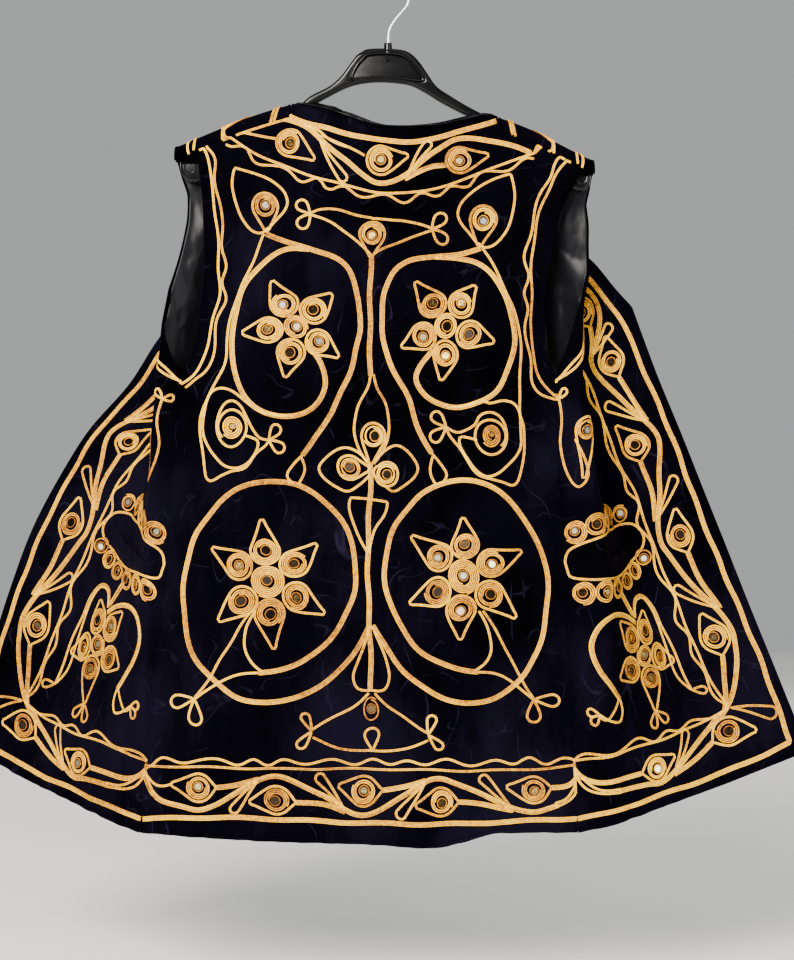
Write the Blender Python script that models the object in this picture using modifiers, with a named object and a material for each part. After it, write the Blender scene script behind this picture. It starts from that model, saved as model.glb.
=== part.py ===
"""An embroidered velvet vest, open at the front, hung by its shoulders on a plastic hanger.

The origin is the inside of the top of the hook, where a rail carries it. +Z is up, the back of the
vest faces -Y, and both fronts swing out and lie a little behind it. All lengths are in metres.
"""

import math

import bmesh
import bpy
import numpy as np
from mathutils import Vector
from mathutils.bvhtree import BVHTree

# ---------------------------------------------------------------- cloth and seams
VELVET_WALL = 0.0013
SATIN_WALL = 0.0010
LINING_GAP = 0.0003
SEAM_GAP = 0.0004
SHOULDER_DROP = 0.005

# ---------------------------------------------------------------- cut of one front, flat
# p is measured from the centre-front edge, q is the height above the hem along that edge.
NECK_FOOT_Q = 0.478
NECK_TOP = (0.105, 0.705)
SHOULDER_TIP_Q = 0.665
UNDERARM_Q = 0.450
# Side seam from the hem to the underarm, then the armhole to the shoulder.
SIDE_CUT = np.array([
    # q,     p
    (0.000, 0.258),
    (0.075, 0.245),
    (0.150, 0.232),
    (0.239, 0.214),
    (0.330, 0.207),
    (0.400, 0.205),
    (0.450, 0.203),
    (0.480, 0.190),
    (0.510, 0.181),
    (0.545, 0.179),
    (0.600, 0.187),
    (0.635, 0.197),
    (0.665, 0.205),
])

# ---------------------------------------------------------------- folds of the hung fronts
# A level q of a front runs from its centre edge (c) to the fold that turns it out (v), on to the
# fold beside the back (r) and to the side seam (s). fold is the radius of both folds, width the
# flat length from c to s. Past the armhole r and s only guide the surface. These two tables are
# written in millimetres.
MM = 0.001
RIGHT_FOLDS = MM * np.array([
    # q,  cx,   cy,   cz,   vx,   vy,  vz,   rx,   ry,  rz,   sx,   sy,  sz,  fold, width
    (0, 430, 62, -783, 348, 58, -815, 223, -6, -849, 190, -3, -856, 30, 258),
    (75, 403, 76, -712, 320, 72, -745, 219, -8, -779, 186, -3, -781, 28, 245),
    (150, 375, 82, -641, 291, 80, -674, 217, -9, -703, 183, -3, -705, 26, 232),
    (239, 340, 76, -555, 253, 74, -589, 216, -9, -609, 178, -3, -615, 21, 214),
    (330, 304, 66, -468, 209, 62, -506, 211, -8, -517, 174, -3, -524, 13, 207),
    (400, 276, 58, -402, 177, 53, -442, 208, -7, -448, 170, -3, -454, 9, 205),
    (450, 257, 52, -354, 156, 47, -394, 206, -6, -399, 168, -3, -406, 8, 203),
    (500, 240, 49, -309, 148, 44, -343, 206, -5, -351, 169, -3, -356, 8, 203),
    (535, 224, 54, -270, 142, 40, -311, 209, -2, -318, 176, -2, -320, 8, 205),
    (600, 187, 80, -228, 117, 26, -252, 221, 3, -258, 206, 2, -260, 8, 217),
    (655, 90, 85, -203, 96, 9.7, -203, 238, 9.7, -206, 246, 9.7, -206, 8, 252),
    (705, 15, 9.7, -151, 86, 9.7, -153, 238, 9.7, -156, 245.5, 9.7, -156, 8, 250),
])
LEFT_FOLDS = MM * np.array([
    # q,  cx,   cy,   cz,   vx,   vy,  vz,   rx,   ry,  rz,   sx,   sy,  sz,  fold, width
    (0, -452, 150, -785, -383, 100, -815, -267, -5, -849, -248, -3, -856, 30, 258),
    (75, -426, 140, -705, -354, 100, -744, -255, -7, -777, -241, -3, -781, 28, 245),
    (150, -402, 130, -629, -325, 95, -666, -245, -8, -697, -234, -3, -706, 25, 232),
    (239, -366, 115, -543, -285, 80, -579, -240, -8, -610, -226, -3, -617, 20, 214),
    (330, -318, 112, -461, -239, 72, -497, -241, -7, -520, -218, -3, -526, 13, 207),
    (400, -270, 100, -406, -198, 58, -454, -244, -6, -452, -212, -3, -457, 9, 205),
    (450, -241, 98, -362, -176, 50, -409, -243, -5, -405, -207, -3, -407, 8, 203),
    (500, -206, 80, -319, -151, 44, -357, -238, -4, -358, -208, -3, -358, 8, 203),
    (535, -196, 74, -285, -133, 40, -318, -232, -2, -318, -200, -2, -320, 8, 206),
    (600, -158, 80, -224, -105, 26, -247, -226, 3, -252, -212, 2, -254, 8, 220),
    (655, -72, 85, -190, -77, 9.7, -190, -250, 9.7, -193, -258, 9.7, -193, 8, 252),
    (705, 18, 9.7, -138, -69, 9.7, -140, -250, 9.7, -143, -260, 9.7, -143, 8, 250),
])

# ---------------------------------------------------------------- cut of the back, as it hangs
# Edges of the back from the shoulder to the underarm; below it the side seams follow the fronts.
BACK_ARMHOLES = np.array([
    # share, left x,  left z,  right x, right z
    (0.00, -0.1880, -0.1830, 0.1930, -0.1950),
    (0.20, -0.1830, -0.2290, 0.1700, -0.2400),
    (0.45, -0.1810, -0.2890, 0.1600, -0.2890),
    (0.62, -0.1840, -0.3200, 0.1545, -0.3300),
    (0.82, -0.1920, -0.3710, 0.1550, -0.3700),
    (1.00, -0.2060, -0.4070, 0.1670, -0.4060),
])
NECKLINE = np.array([
    # x,      z
    (-0.0990, -0.1400),
    (-0.0700, -0.1470),
    (-0.0300, -0.1580),
    (0.0120, -0.1635),
    (0.0500, -0.1610),
    (0.0850, -0.1540),
    (0.1120, -0.1520),
])
HEM = np.array([
    # x,      z
    (-0.2480, -0.8560),
    (-0.1740, -0.8610),
    (-0.0830, -0.8640),
    (-0.0220, -0.8665),
    (0.0400, -0.8700),
    (0.0750, -0.8640),
    (0.1080, -0.8555),
    (0.1410, -0.8555),
    (0.1900, -0.8560),
])
# How far the back stands out in front of the hanger's middle plane.
BACK_DEPTH = np.array([
    # z,      at the edges, along the middle, ripple
    (-0.130, -0.0097, -0.0097, 0.0000),
    (-0.200, -0.0100, -0.0110, 0.0000),
    (-0.300, -0.0080, -0.0140, 0.0004),
    (-0.410, -0.0030, -0.0160, 0.0010),
    (-0.620, -0.0030, -0.0170, 0.0016),
    (-0.870, -0.0030, -0.0140, 0.0024),
])
RIPPLE_WAVES = 2.5
MIDDLE_FLATNESS = 3.0

# ---------------------------------------------------------------- how finely the walls are cut
LOWER_ROWS = 11
UPPER_ROWS = 11
WRAP_ROWS = 7
FRONT_COLUMNS = 14
SHOULDER_COLUMNS = 4
NECK_COLUMNS = 9
LEVELS = 95
LEVEL_SAMPLES = 161
ARC_STEPS = 10
EVEN_CELL = 0.030
TURN_CELL = math.radians(42.0)
COLUMN_SMOOTHINGS = 3

# ---------------------------------------------------------------- raised gold embroidery
CORD_GAP = 0.0006
CORD_HEIGHT = 0.0016
LINE_END_TRIM = 0.0015
OUTER_LINE = (0.015, 0.021)
INNER_LINE = (0.069, 0.074)
NECK_LINE = (0.007, 0.012)
ARMHOLE_LINE = (0.016, 0.021)
YOKE_LINE_WIDTH = 0.005
RING_WIDTH = 0.007
RING_STEPS = 36
STEM_WIDTH = 0.005
STEM_X = -0.017
STEM_RUNS = {"upper": (-0.400, -0.272), "lower": (-0.652, -0.525)}
STEM_STEP = 0.014
FRONT_LINES = {
    # name: edges of the line, rows that it runs past the foot of the neck
    "outer": (OUTER_LINE, 4),
    "inner": (INNER_LINE, 0),
}
YOKE_CURVE = np.array([
    # x,    z
    (-0.150, -0.163),
    (-0.088, -0.191),
    (0.002, -0.218),
    (0.062, -0.210),
    (0.150, -0.180),
])
RINGS = {
    # name: centre x, centre z, half width, half height
    "upper_left": (-0.096, -0.361, 0.064, 0.079),
    "upper_right": (0.061, -0.361, 0.062, 0.079),
    "lower_left": (-0.118, -0.618, 0.082, 0.108),
    "lower_right": (0.077, -0.621, 0.079, 0.107),
}
STARS = {
    # name: centre x, centre z, points, tip radius, notch radius, turn
    "upper_left": (-0.092, -0.353, 5, 0.050, 0.027, 0.42),
    "upper_right": (0.058, -0.352, 5, 0.050, 0.027, 0.42),
    "lower_left": (-0.120, -0.606, 6, 0.060, 0.034, 0.55),
    "lower_right": (0.075, -0.602, 6, 0.060, 0.034, 0.60),
    "trefoil": (-0.017, -0.478, 3, 0.044, 0.022, math.pi / 2),
}
STAR_CUTS = 2
POCKET_Q = (0.205, 0.262)
POCKET_P = (0.080, 0.205)
POCKET_WALL = 0.0016
POCKET_LIFT = 0.0026

# ---------------------------------------------------------------- hanger and hook
HANGER_THICKNESS = 0.010
HANGER_ROUNDING = 0.0035
HANGER_OUTLINE = np.array([
    # x,      z
    (-0.0230, -0.0755),
    (0.0130, -0.0755),
    (0.0225, -0.0790),
    (0.0320, -0.0885),
    (0.0410, -0.1015),
    (0.0490, -0.1125),
    (0.0630, -0.1220),
    (0.0760, -0.1300),
    (0.0920, -0.1385),
    (0.1120, -0.1484),
    (0.1570, -0.1691),
    (0.1880, -0.1832),
    (0.1980, -0.1900),
    (0.2020, -0.2005),
    (0.2010, -0.2115),
    (0.1920, -0.2175),
    (0.1570, -0.1955),
    (0.1120, -0.1615),
    (0.0840, -0.1440),
    (0.0760, -0.1405),
    (0.0530, -0.1285),
    (0.0360, -0.1180),
    (0.0225, -0.1115),
    (0.0025, -0.1085),
    (-0.0180, -0.1085),
    (-0.0380, -0.1125),
    (-0.0580, -0.1220),
    (-0.0790, -0.1340),
    (-0.1000, -0.1475),
    (-0.1480, -0.1765),
    (-0.1900, -0.2085),
    (-0.2020, -0.2055),
    (-0.2075, -0.1945),
    (-0.2060, -0.1835),
    (-0.2000, -0.1750),
    (-0.1900, -0.1694),
    (-0.1490, -0.1540),
    (-0.1000, -0.1354),
    (-0.0900, -0.1313),
    (-0.0780, -0.1220),
    (-0.0580, -0.1115),
    (-0.0470, -0.1015),
    (-0.0404, -0.0925),
    (-0.0310, -0.0805),
])
WINDOW_OUTLINE = np.array([
    # x,      z
    (-0.0220, -0.0815),
    (0.0150, -0.0815),
    (0.0230, -0.0880),
    (0.0310, -0.0990),
    (0.0350, -0.1060),
    (0.0180, -0.1050),
    (0.0025, -0.1035),
    (-0.0180, -0.1035),
    (-0.0340, -0.1060),
    (-0.0360, -0.1030),
    (-0.0300, -0.0900),
])
WEB_THICKNESS = 0.003
COLLAR_RADIUS = 0.0042
COLLAR_TOP = -0.0690
COLLAR_FOOT = -0.0770
WIRE_RADIUS = 0.0016
WIRE_CLEARANCE = 0.0003
WIRE_FOOT = -0.0735
HOOK_RADIUS = 0.0221
HOOK_ROUTE = ((0.0, WIRE_FOOT), (0.0, -0.0690), (0.0005, -0.0640), (0.0020, -0.0550), (0.0050, -0.0480),
              (0.0120, -0.0380), (0.0178, -0.0300), (0.0208, -0.0255))
HOOK_ARC = (math.radians(-8.0), math.radians(205.0))
HOOK_ARC_STEPS = 26


def eased(knots, values, at):
    """Values between the knots on a cubic that never overshoots them."""
    step = np.diff(knots)
    slope = np.diff(values) / step
    product = slope[:-1] * slope[1:]
    total = np.where(product > 0, slope[:-1] + slope[1:], 1.0)
    inner = np.where(product > 0, 2 * product / total, 0.0)
    tangent = np.concatenate((slope[:1], inner, slope[-1:]))
    at = np.clip(at, knots[0], knots[-1])
    i = np.clip(np.searchsorted(knots, at, side="right") - 1, 0, len(step) - 1)
    t = (at - knots[i]) / step[i]
    start = values[i] * (1 + 2 * t) * (1 - t) ** 2 + tangent[i] * step[i] * t * (1 - t) ** 2
    end = values[i + 1] * t**2 * (3 - 2 * t) - tangent[i + 1] * step[i] * t**2 * (1 - t)
    return start + end


def unit(vector):
    """The vector at length one."""
    return vector / np.linalg.norm(vector)


def corner_arc(before, corner, after, radius):
    """Points round one corner of a polyline, on an arc that touches both of its runs."""
    back, ahead = unit(before - corner), unit(after - corner)
    half = 0.5 * math.acos(np.clip(back @ ahead, -1.0, 1.0))
    room = 0.47 * min(np.linalg.norm(before - corner), np.linalg.norm(after - corner))
    reach = min(radius / math.tan(half), room)
    fitted = reach * math.tan(half)
    centre = corner + unit(back + ahead) * fitted / math.sin(half)
    start = corner + back * reach - centre
    side = unit(ahead * reach - back * reach - ((ahead - back) @ start) * reach * start / (start @ start))
    sweep = np.linspace(0.0, math.pi - 2 * half, ARC_STEPS)[:, None]
    return centre + start * np.cos(sweep) + side * fitted * np.sin(sweep)


def even_points(path, count):
    """Points at even steps along a path, and the path's length."""
    run = np.concatenate(([0.0], np.cumsum(np.linalg.norm(np.diff(path, axis=0), axis=1))))
    at = np.linspace(0.0, run[-1], count)
    return np.stack([np.interp(at, run, path[:, axis]) for axis in range(3)], axis=1), run[-1]


class FrontSurface:
    """One front as it hangs: the place in the room of each place on its flat cut."""

    def __init__(self, folds):
        self.levels = np.linspace(folds[0, 0], folds[-1, 0], LEVELS)
        columns = [eased(folds[:, 0], folds[:, k], self.levels) for k in range(1, folds.shape[1])]
        self.width = columns[-1]
        self.points = np.array([self.level_points(row) for row in np.stack(columns, axis=1)])

    @staticmethod
    def level_points(row):
        """One level's points, from the centre edge to the side seam."""
        c, v, r, s = row[:12].reshape(4, 3)
        radius = row[12]
        path = np.vstack((c, corner_arc(c, v, r, radius), corner_arc(v, r, s, radius), s))
        return even_points(path, LEVEL_SAMPLES)[0]

    def at(self, p, q):
        """Points in the room for flat places p, q."""
        q = np.clip(q, self.levels[0], self.levels[-1])
        level = (q - self.levels[0]) / (self.levels[1] - self.levels[0])
        i = np.minimum(level.astype(int), LEVELS - 2)
        up = (level - i)[:, None]
        across = np.clip(p / np.interp(q, self.levels, self.width), 0.0, 1.0) * (LEVEL_SAMPLES - 1)
        j = np.minimum(across.astype(int), LEVEL_SAMPLES - 2)
        on = (across - j)[:, None]
        low = self.points[i, j] * (1 - on) + self.points[i, j + 1] * on
        high = self.points[i + 1, j] * (1 - on) + self.points[i + 1, j + 1] * on
        return low * (1 - up) + high * up


def centre_cut(q):
    """The front's centre edge and neck edge: p at a level q."""
    past_foot = np.maximum(q - NECK_FOOT_Q, 0.0)
    return NECK_TOP[0] * past_foot / (NECK_TOP[1] - NECK_FOOT_Q)


def side_cut(q):
    """The front's side seam and armhole: p at a level q."""
    return eased(SIDE_CUT[:, 0], SIDE_CUT[:, 1], q)


def front_rows():
    """The levels of a front's rows at its centre edge and at its side edge."""
    lower = np.linspace(0.0, 1.0, LOWER_ROWS + 1)
    upper = np.linspace(0.0, 1.0, UPPER_ROWS + 1)[1:]
    centre = np.concatenate((lower * NECK_FOOT_Q, NECK_FOOT_Q + upper * (NECK_TOP[1] - NECK_FOOT_Q)))
    side = np.concatenate((lower * UNDERARM_Q, UNDERARM_Q + upper * (SHOULDER_TIP_Q - UNDERARM_Q)))
    return centre, side


def even_columns(line, shares):
    """Where columns stand along a row, closer together on its folds."""
    runs = np.diff(line, axis=0)
    lengths = np.linalg.norm(runs, axis=1)
    headings = runs / lengths[:, None]
    turns = np.arccos(np.clip((headings[1:] * headings[:-1]).sum(axis=1), -1.0, 1.0))
    effort = lengths / EVEN_CELL + np.append(turns, 0.0) / TURN_CELL
    done = np.concatenate(([0.0], np.cumsum(effort)))
    return np.interp(np.linspace(0.0, done[-1], FRONT_COLUMNS + 1), done, shares)


def front_grid(surface):
    """A front's points by row and column, with the flat place of each. Rows run up from the hem and
    over the shoulder; columns run from the centre edge."""
    shares = np.linspace(0.0, 1.0, LEVEL_SAMPLES)
    q_centre, q_side = (q[:, None] for q in front_rows())
    p_centre, p_side = centre_cut(q_centre), side_cut(q_side)
    stand = np.array([
        even_columns(surface.at(p0 + shares * (p1 - p0), q0 + shares * (q1 - q0)), shares)
        for p0, p1, q0, q1 in zip(p_centre, p_side, q_centre, q_side)
    ])
    for _ in range(COLUMN_SMOOTHINGS):
        stand[1:-1] = (stand[:-2] + 2 * stand[1:-1] + stand[2:]) / 4
    p = p_centre + stand * (p_side - p_centre)
    q = q_centre + stand * (q_side - q_centre)
    places = list(np.stack((p, q), axis=-1))
    points = [surface.at(*place.T) for place in places]
    top = points[-1]
    radius = top[:, 1]
    for angle in np.linspace(0.0, math.pi, WRAP_ROWS)[1:]:
        turned = top.copy()
        turned[:, 1] = radius * math.cos(angle)
        turned[:, 2] = top[:, 2] + radius * math.sin(angle)
        points.append(turned)
        places.append(places[-1] + (0.0, radius[0] * math.pi / (WRAP_ROWS - 1)))
    points.append(points[-1] - (0.0, 0.0, SHOULDER_DROP))
    places.append(places[-1] + (0.0, SHOULDER_DROP))
    return np.array(points), np.array(places)


def back_depth(x, z, left, right):
    """How far forward the back hangs at a height z, between its left and right edges."""
    across = np.clip(2 * (x - left) / (right - left) - 1, -1.0, 1.0)
    height = -z
    heights = -BACK_DEPTH[:, 0]
    edge, middle, ripple = (eased(heights, BACK_DEPTH[:, k], height) for k in (1, 2, 3))
    fullness = 1 - np.abs(across) ** MIDDLE_FLATNESS
    wave = np.sin(math.pi * RIPPLE_WAVES * across + 0.6) * fullness
    return edge + (middle - edge) * fullness + ripple * wave


def back_sides(left_front, right_front):
    """The back's left and right edges, row by row from the hem to the shoulder."""
    seam_rows = slice(0, LOWER_ROWS + 1)
    left = left_front[seam_rows, -1] + (SEAM_GAP, 0.0, 0.0)
    right = right_front[seam_rows, -1] - (SEAM_GAP, 0.0, 0.0)
    shares = 1 - np.linspace(0.0, 1.0, UPPER_ROWS + 1)[1:]
    curve = [eased(BACK_ARMHOLES[:, 0], BACK_ARMHOLES[:, k], shares) for k in range(1, 5)]
    none = np.zeros(UPPER_ROWS)
    left = np.vstack((left, np.stack((curve[0], none, curve[1]), axis=1)))
    right = np.vstack((right, np.stack((curve[2], none, curve[3]), axis=1)))
    return left, right


def back_grid(left_front, right_front):
    """The back's points by row and column, as the fronts are, from the wearer's left to the right."""
    left, right = back_sides(left_front, right_front)
    left_shoulder = left_front[-1][::-1] - (0.0, 0.0, SEAM_GAP)
    right_shoulder = right_front[-1] - (0.0, 0.0, SEAM_GAP)
    left[-1] = left_shoulder[0]
    right[-1] = right_shoulder[-1]
    shoulder_shares = np.linspace(0.0, 1.0, SHOULDER_COLUMNS + 1)
    x_left = left[-1, 0] + shoulder_shares * (left_shoulder[-1, 0] - left[-1, 0])
    x_right = right_shoulder[0, 0] + shoulder_shares * (right[-1, 0] - right_shoulder[0, 0])
    x_neck = np.linspace(x_left[-1], x_right[0], NECK_COLUMNS + 1)[1:-1]
    top_x = np.concatenate((x_left, x_neck, x_right))
    top_z = np.concatenate((
        np.interp(x_left, left_shoulder[:, 0], left_shoulder[:, 2]),
        eased(NECKLINE[:, 0], NECKLINE[:, 1], x_neck),
        np.interp(x_right, right_shoulder[:, 0], right_shoulder[:, 2]),
    ))
    u = (top_x - top_x[0]) / (top_x[-1] - top_x[0])
    hem_x = left[0, 0] + u * (right[0, 0] - left[0, 0])
    hem = np.stack((hem_x, eased(HEM[:, 0], HEM[:, 1], hem_x)), axis=1)
    top = np.stack((top_x, top_z), axis=1)
    rows = []
    for side_l, side_r in zip(left[:, ::2], right[:, ::2]):
        v_l = (side_l[1] - left[0, 2]) / (left[-1, 2] - left[0, 2])
        v_r = (side_r[1] - right[0, 2]) / (right[-1, 2] - right[0, 2])
        v = (v_l + u * (v_r - v_l))[:, None]
        across = side_l + u[:, None] * (side_r - side_l)
        along = hem * (1 - v) + top * v
        hem_line = hem[0] + u[:, None] * (hem[-1] - hem[0])
        top_line = top[0] + u[:, None] * (top[-1] - top[0])
        rows.append(across + along - hem_line * (1 - v) - top_line * v)
    flat = np.array(rows)
    x, z = flat[..., 0], flat[..., 1]
    y = back_depth(x, z, x[:, :1], x[:, -1:])
    return np.stack((x, y, z), axis=-1)


def crossing(lines, field, level):
    """Where a field rising along each of the lines reaches the level."""
    found = []
    for points, values in zip(lines, field):
        found.append([np.interp(level, values, points[:, axis]) for axis in range(3)])
    return np.array(found)


# ---------------------------------------------------------------- building
def clear_scene():
    """Removes every object and leaves two collections, for the vest and for its cutters."""
    for thing in list(bpy.data.objects):
        bpy.data.objects.remove(thing, do_unlink=True)
    collections = []
    for name in ("folk_vest", "cutters"):
        collection = bpy.data.collections.new(name)
        bpy.context.scene.collection.children.link(collection)
        collections.append(collection)
    return collections


def finish(name, colour, roughness, metallic=0.0):
    """A plain surface finish."""
    material = bpy.data.materials.new(name)
    material.use_nodes = True
    shader = material.node_tree.nodes["Principled BSDF"]
    shader.inputs["Base Color"].default_value = (*colour, 1.0)
    shader.inputs["Roughness"].default_value = roughness
    shader.inputs["Metallic"].default_value = metallic
    return material


def placed(name, data, collection, material, root):
    """An object of this mesh or curve under the vest's root."""
    thing = bpy.data.objects.new(name, data)
    collection.objects.link(thing)
    data.materials.append(material)
    thing.parent = root
    return thing


def grid_mesh(name, points):
    """A sheet of quads through rows and columns of points."""
    rows, columns = points.shape[:2]
    sheet = bmesh.new()
    bmesh.ops.create_grid(sheet, x_segments=columns - 1, y_segments=rows - 1, size=1.0)
    for vertex, place in zip(sheet.verts, points.reshape(-1, 3)):
        vertex.co = place
    bmesh.ops.remove_doubles(sheet, verts=sheet.verts, dist=1e-5)
    mesh = bpy.data.meshes.new(name)
    sheet.to_mesh(mesh)
    sheet.free()
    return mesh


def grid_normals(points):
    """Outward directions at a grid's points, its columns running to the right of its outer face."""
    mesh = grid_mesh("normals", points)
    normals = np.array([vertex.normal[:] for vertex in mesh.vertices])
    bpy.data.meshes.remove(mesh)
    return normals.reshape(points.shape)


def thicken(thing, thickness):
    """Gives an open sheet its wall, inwards from its outer face."""
    wall = thing.modifiers.new("wall", "SOLIDIFY")
    wall.thickness = thickness
    wall.offset = -1.0
    return thing


class Maker:
    """Makes each piece of the vest in its collection, under its root."""

    def __init__(self):
        self.pieces, self.cutters = clear_scene()
        self.root = bpy.data.objects.new("vest_root", None)
        self.pieces.objects.link(self.root)
        self.velvet = finish("velvet", (0.010, 0.010, 0.028), 0.85)
        self.satin = finish("satin", (0.012, 0.012, 0.016), 0.30)
        self.gold = finish("gold_cord", (0.78, 0.56, 0.28), 0.55)
        self.plastic = finish("hanger_plastic", (0.012, 0.012, 0.013), 0.35)
        self.steel = finish("hook_steel", (0.62, 0.62, 0.60), 0.22, 1.0)

    def wall(self, name, points, thickness, material):
        """A cloth wall whose outer face passes through the points."""
        thing = placed(name, grid_mesh(name, points), self.pieces, material, self.root)
        return thicken(thing, thickness)

    def line(self, name, edges, normals):
        """A raised line of couched cord between two edges that lie on a panel, short of the seams."""
        for end, inner in ((0, 1), (-1, -2)):
            run = edges[inner] - edges[end]
            edges[end] += run * LINE_END_TRIM / np.linalg.norm(run, axis=1, keepdims=True)
        lifted = edges + normals * (CORD_GAP + CORD_HEIGHT)
        return self.wall(name, lifted, CORD_HEIGHT, self.gold)

    def lining(self, name, points, normals):
        """The satin behind a velvet panel, made from the panel's own points moved in."""
        inner = points - normals * (VELVET_WALL + LINING_GAP)
        return self.wall(name, inner, SATIN_WALL, self.satin)


class BackFace:
    """The outer face of the back, for embroidery that crosses it freely."""

    def __init__(self, points):
        mesh = grid_mesh("back_face", points)
        corners = [vertex.co.copy() for vertex in mesh.vertices]
        faces = [tuple(face.vertices) for face in mesh.polygons]
        self.tree = BVHTree.FromPolygons(corners, faces)
        bpy.data.meshes.remove(mesh)

    def lifted(self, x, z, height):
        """A point this far in front of the face."""
        hit = self.tree.ray_cast(Vector((x, -1.0, z)), Vector((0.0, 1.0, 0.0)))[0]
        return np.array((x, hit.y - height, z))

    def ribbon(self, centres, width, closed):
        """The two edges of a raised line that follows these places on the face."""
        if closed:
            ahead = np.roll(centres, -1, axis=0) - np.roll(centres, 1, axis=0)
        else:
            ahead = np.gradient(centres, axis=0)
        ahead /= np.linalg.norm(ahead, axis=1, keepdims=True)
        aside = np.stack((ahead[:, 1], -ahead[:, 0]), axis=1) * width / 2
        if closed:
            centres = np.vstack((centres, centres[:1]))
            aside = np.vstack((aside, aside[:1]))
        sides = np.stack((centres - aside, centres + aside), axis=1)
        height = CORD_GAP + CORD_HEIGHT
        return np.array([[self.lifted(x, z, height) for x, z in pair] for pair in sides])


def flat_point(points, places, p, q):
    """The point of a front's grid at the flat place p, q, near its centre edge."""
    levels = places[:, 0, 1]
    row = int(np.searchsorted(levels, q)) - 1
    low, high = crossing(points[row:row + 2], places[row:row + 2, :, 0], p)
    return low + (high - low) * (q - levels[row]) / (levels[row + 1] - levels[row])


def front_lines(maker, side, points, places, normals):
    """The outer and inner border lines of one front, from the side seam round the hem and up."""
    for name, ((near, far), past_neck) in FRONT_LINES.items():
        hem_columns = [j for j in range(places.shape[1]) if places[0, j, 0] > far][::-1]
        edge_rows = [i for i in range(LOWER_ROWS + 1 + past_neck) if places[i, 0, 1] > far]
        column_q = places[..., 1].T[hem_columns]
        row_p = places[edge_rows, :, 0] - places[edge_rows, :1, 0]
        edges, outward = [], []
        for level in (near, far):
            for found, field in ((edges, points), (outward, normals)):
                along_hem = crossing(field.transpose(1, 0, 2)[hem_columns], column_q, level)
                corner = flat_point(field, places, level, level)
                up_edge = crossing(field[edge_rows], row_p, level)
                found.append(np.vstack((along_hem, corner, up_edge)))
        edges, outward = np.stack(edges, axis=1), np.stack(outward, axis=1)
        outward /= np.linalg.norm(outward, axis=2, keepdims=True)
        if side == "right":
            edges, outward = edges[:, ::-1], outward[:, ::-1]
        maker.line(f"embroidery_front_{side}_{name}", edges, outward)


def pocket(maker, side, points, places, normals):
    """The velvet pocket of one front: a patch on the panel, its top edge standing a little open."""
    middle = places[:, FRONT_COLUMNS // 2]
    rows = [i for i in range(LOWER_ROWS) if POCKET_Q[0] - 0.02 < middle[i, 1] < POCKET_Q[1] + 0.02]
    columns = [j for j in range(FRONT_COLUMNS) if POCKET_P[0] < places[rows[0], j, 0] < POCKET_P[1]]
    patch = np.ix_(rows, columns)
    across = np.linspace(-1.0, 1.0, len(columns))
    rise = np.linspace(0.0, 1.0, len(rows))
    lift = SEAM_GAP + POCKET_LIFT * np.outer(rise, 1 - across**2)
    outer = points[patch] + normals[patch] * (lift + POCKET_WALL)[..., None]
    if side == "right":
        outer = outer[:, ::-1]
    maker.wall(f"pocket_{side}", outer, POCKET_WALL, maker.velvet)


def back_lines(maker, points, normals):
    """The lines of the back that run along its edges: hem, neck, yoke and armholes."""
    columns = points.transpose(1, 0, 2)
    outward = normals.transpose(1, 0, 2)
    above_hem = columns[..., 2] - columns[:, :1, 2]
    for name, levels in (("outer", OUTER_LINE), ("inner", INNER_LINE)):
        edges = [crossing(columns, above_hem, level) for level in levels[::-1]]
        facing = [crossing(outward, above_hem, level) for level in levels[::-1]]
        maker.line(f"embroidery_hem_{name}", np.stack(edges, axis=1), np.stack(facing, axis=1))
    neck = slice(SHOULDER_COLUMNS, SHOULDER_COLUMNS + NECK_COLUMNS + 1)
    below_neck = columns[neck, :, 2] - columns[neck, -1:, 2]
    edges = [crossing(columns[neck], below_neck, -level) for level in NECK_LINE]
    facing = [crossing(outward[neck], below_neck, -level) for level in NECK_LINE]
    maker.line("embroidery_neck", np.stack(edges, axis=1), np.stack(facing, axis=1))
    yoke = slice(SHOULDER_COLUMNS - 2, SHOULDER_COLUMNS + NECK_COLUMNS + 3)
    above_yoke = columns[yoke, :, 2] - eased(YOKE_CURVE[:, 0], YOKE_CURVE[:, 1], columns[yoke, :, 0])
    levels = (YOKE_LINE_WIDTH / 2, -YOKE_LINE_WIDTH / 2)
    edges = [crossing(columns[yoke], above_yoke, level) for level in levels]
    facing = [crossing(outward[yoke], above_yoke, level) for level in levels]
    maker.line("embroidery_yoke", np.stack(edges, axis=1), np.stack(facing, axis=1))
    beside = slice(LOWER_ROWS, LOWER_ROWS + UPPER_ROWS)
    for side, step in (("left", 1), ("right", -1)):
        rows, facings = points[beside, ::step], normals[beside, ::step]
        run = np.abs(rows[..., 0] - rows[:, :1, 0])
        edges = [crossing(rows, run, level) for level in ARMHOLE_LINE[::step]]
        facing = [crossing(facings, run, level) for level in ARMHOLE_LINE[::step]]
        maker.line(f"embroidery_armhole_{side}", np.stack(edges, axis=1), np.stack(facing, axis=1))


def back_motifs(maker, face):
    """The scroll rings, the stem and the star flowers of the back."""
    turn = np.linspace(0.0, 2 * math.pi, RING_STEPS, endpoint=False)
    for name, (x, z, half_width, half_height) in RINGS.items():
        centres = np.stack((x + half_width * np.cos(turn), z + half_height * np.sin(turn)), axis=1)
        maker.wall(f"embroidery_ring_{name}", face.ribbon(centres, RING_WIDTH, True), CORD_HEIGHT,
                   maker.gold)
    for name, (foot, head) in STEM_RUNS.items():
        heights = np.linspace(foot, head, round((head - foot) / STEM_STEP) + 1)
        centres = np.stack((np.full_like(heights, STEM_X), heights), axis=1)
        maker.wall(f"embroidery_stem_{name}", face.ribbon(centres, STEM_WIDTH, False),
                   CORD_HEIGHT, maker.gold)
    for name, star in STARS.items():
        flower(maker, face, f"embroidery_star_{name}", *star)


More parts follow.
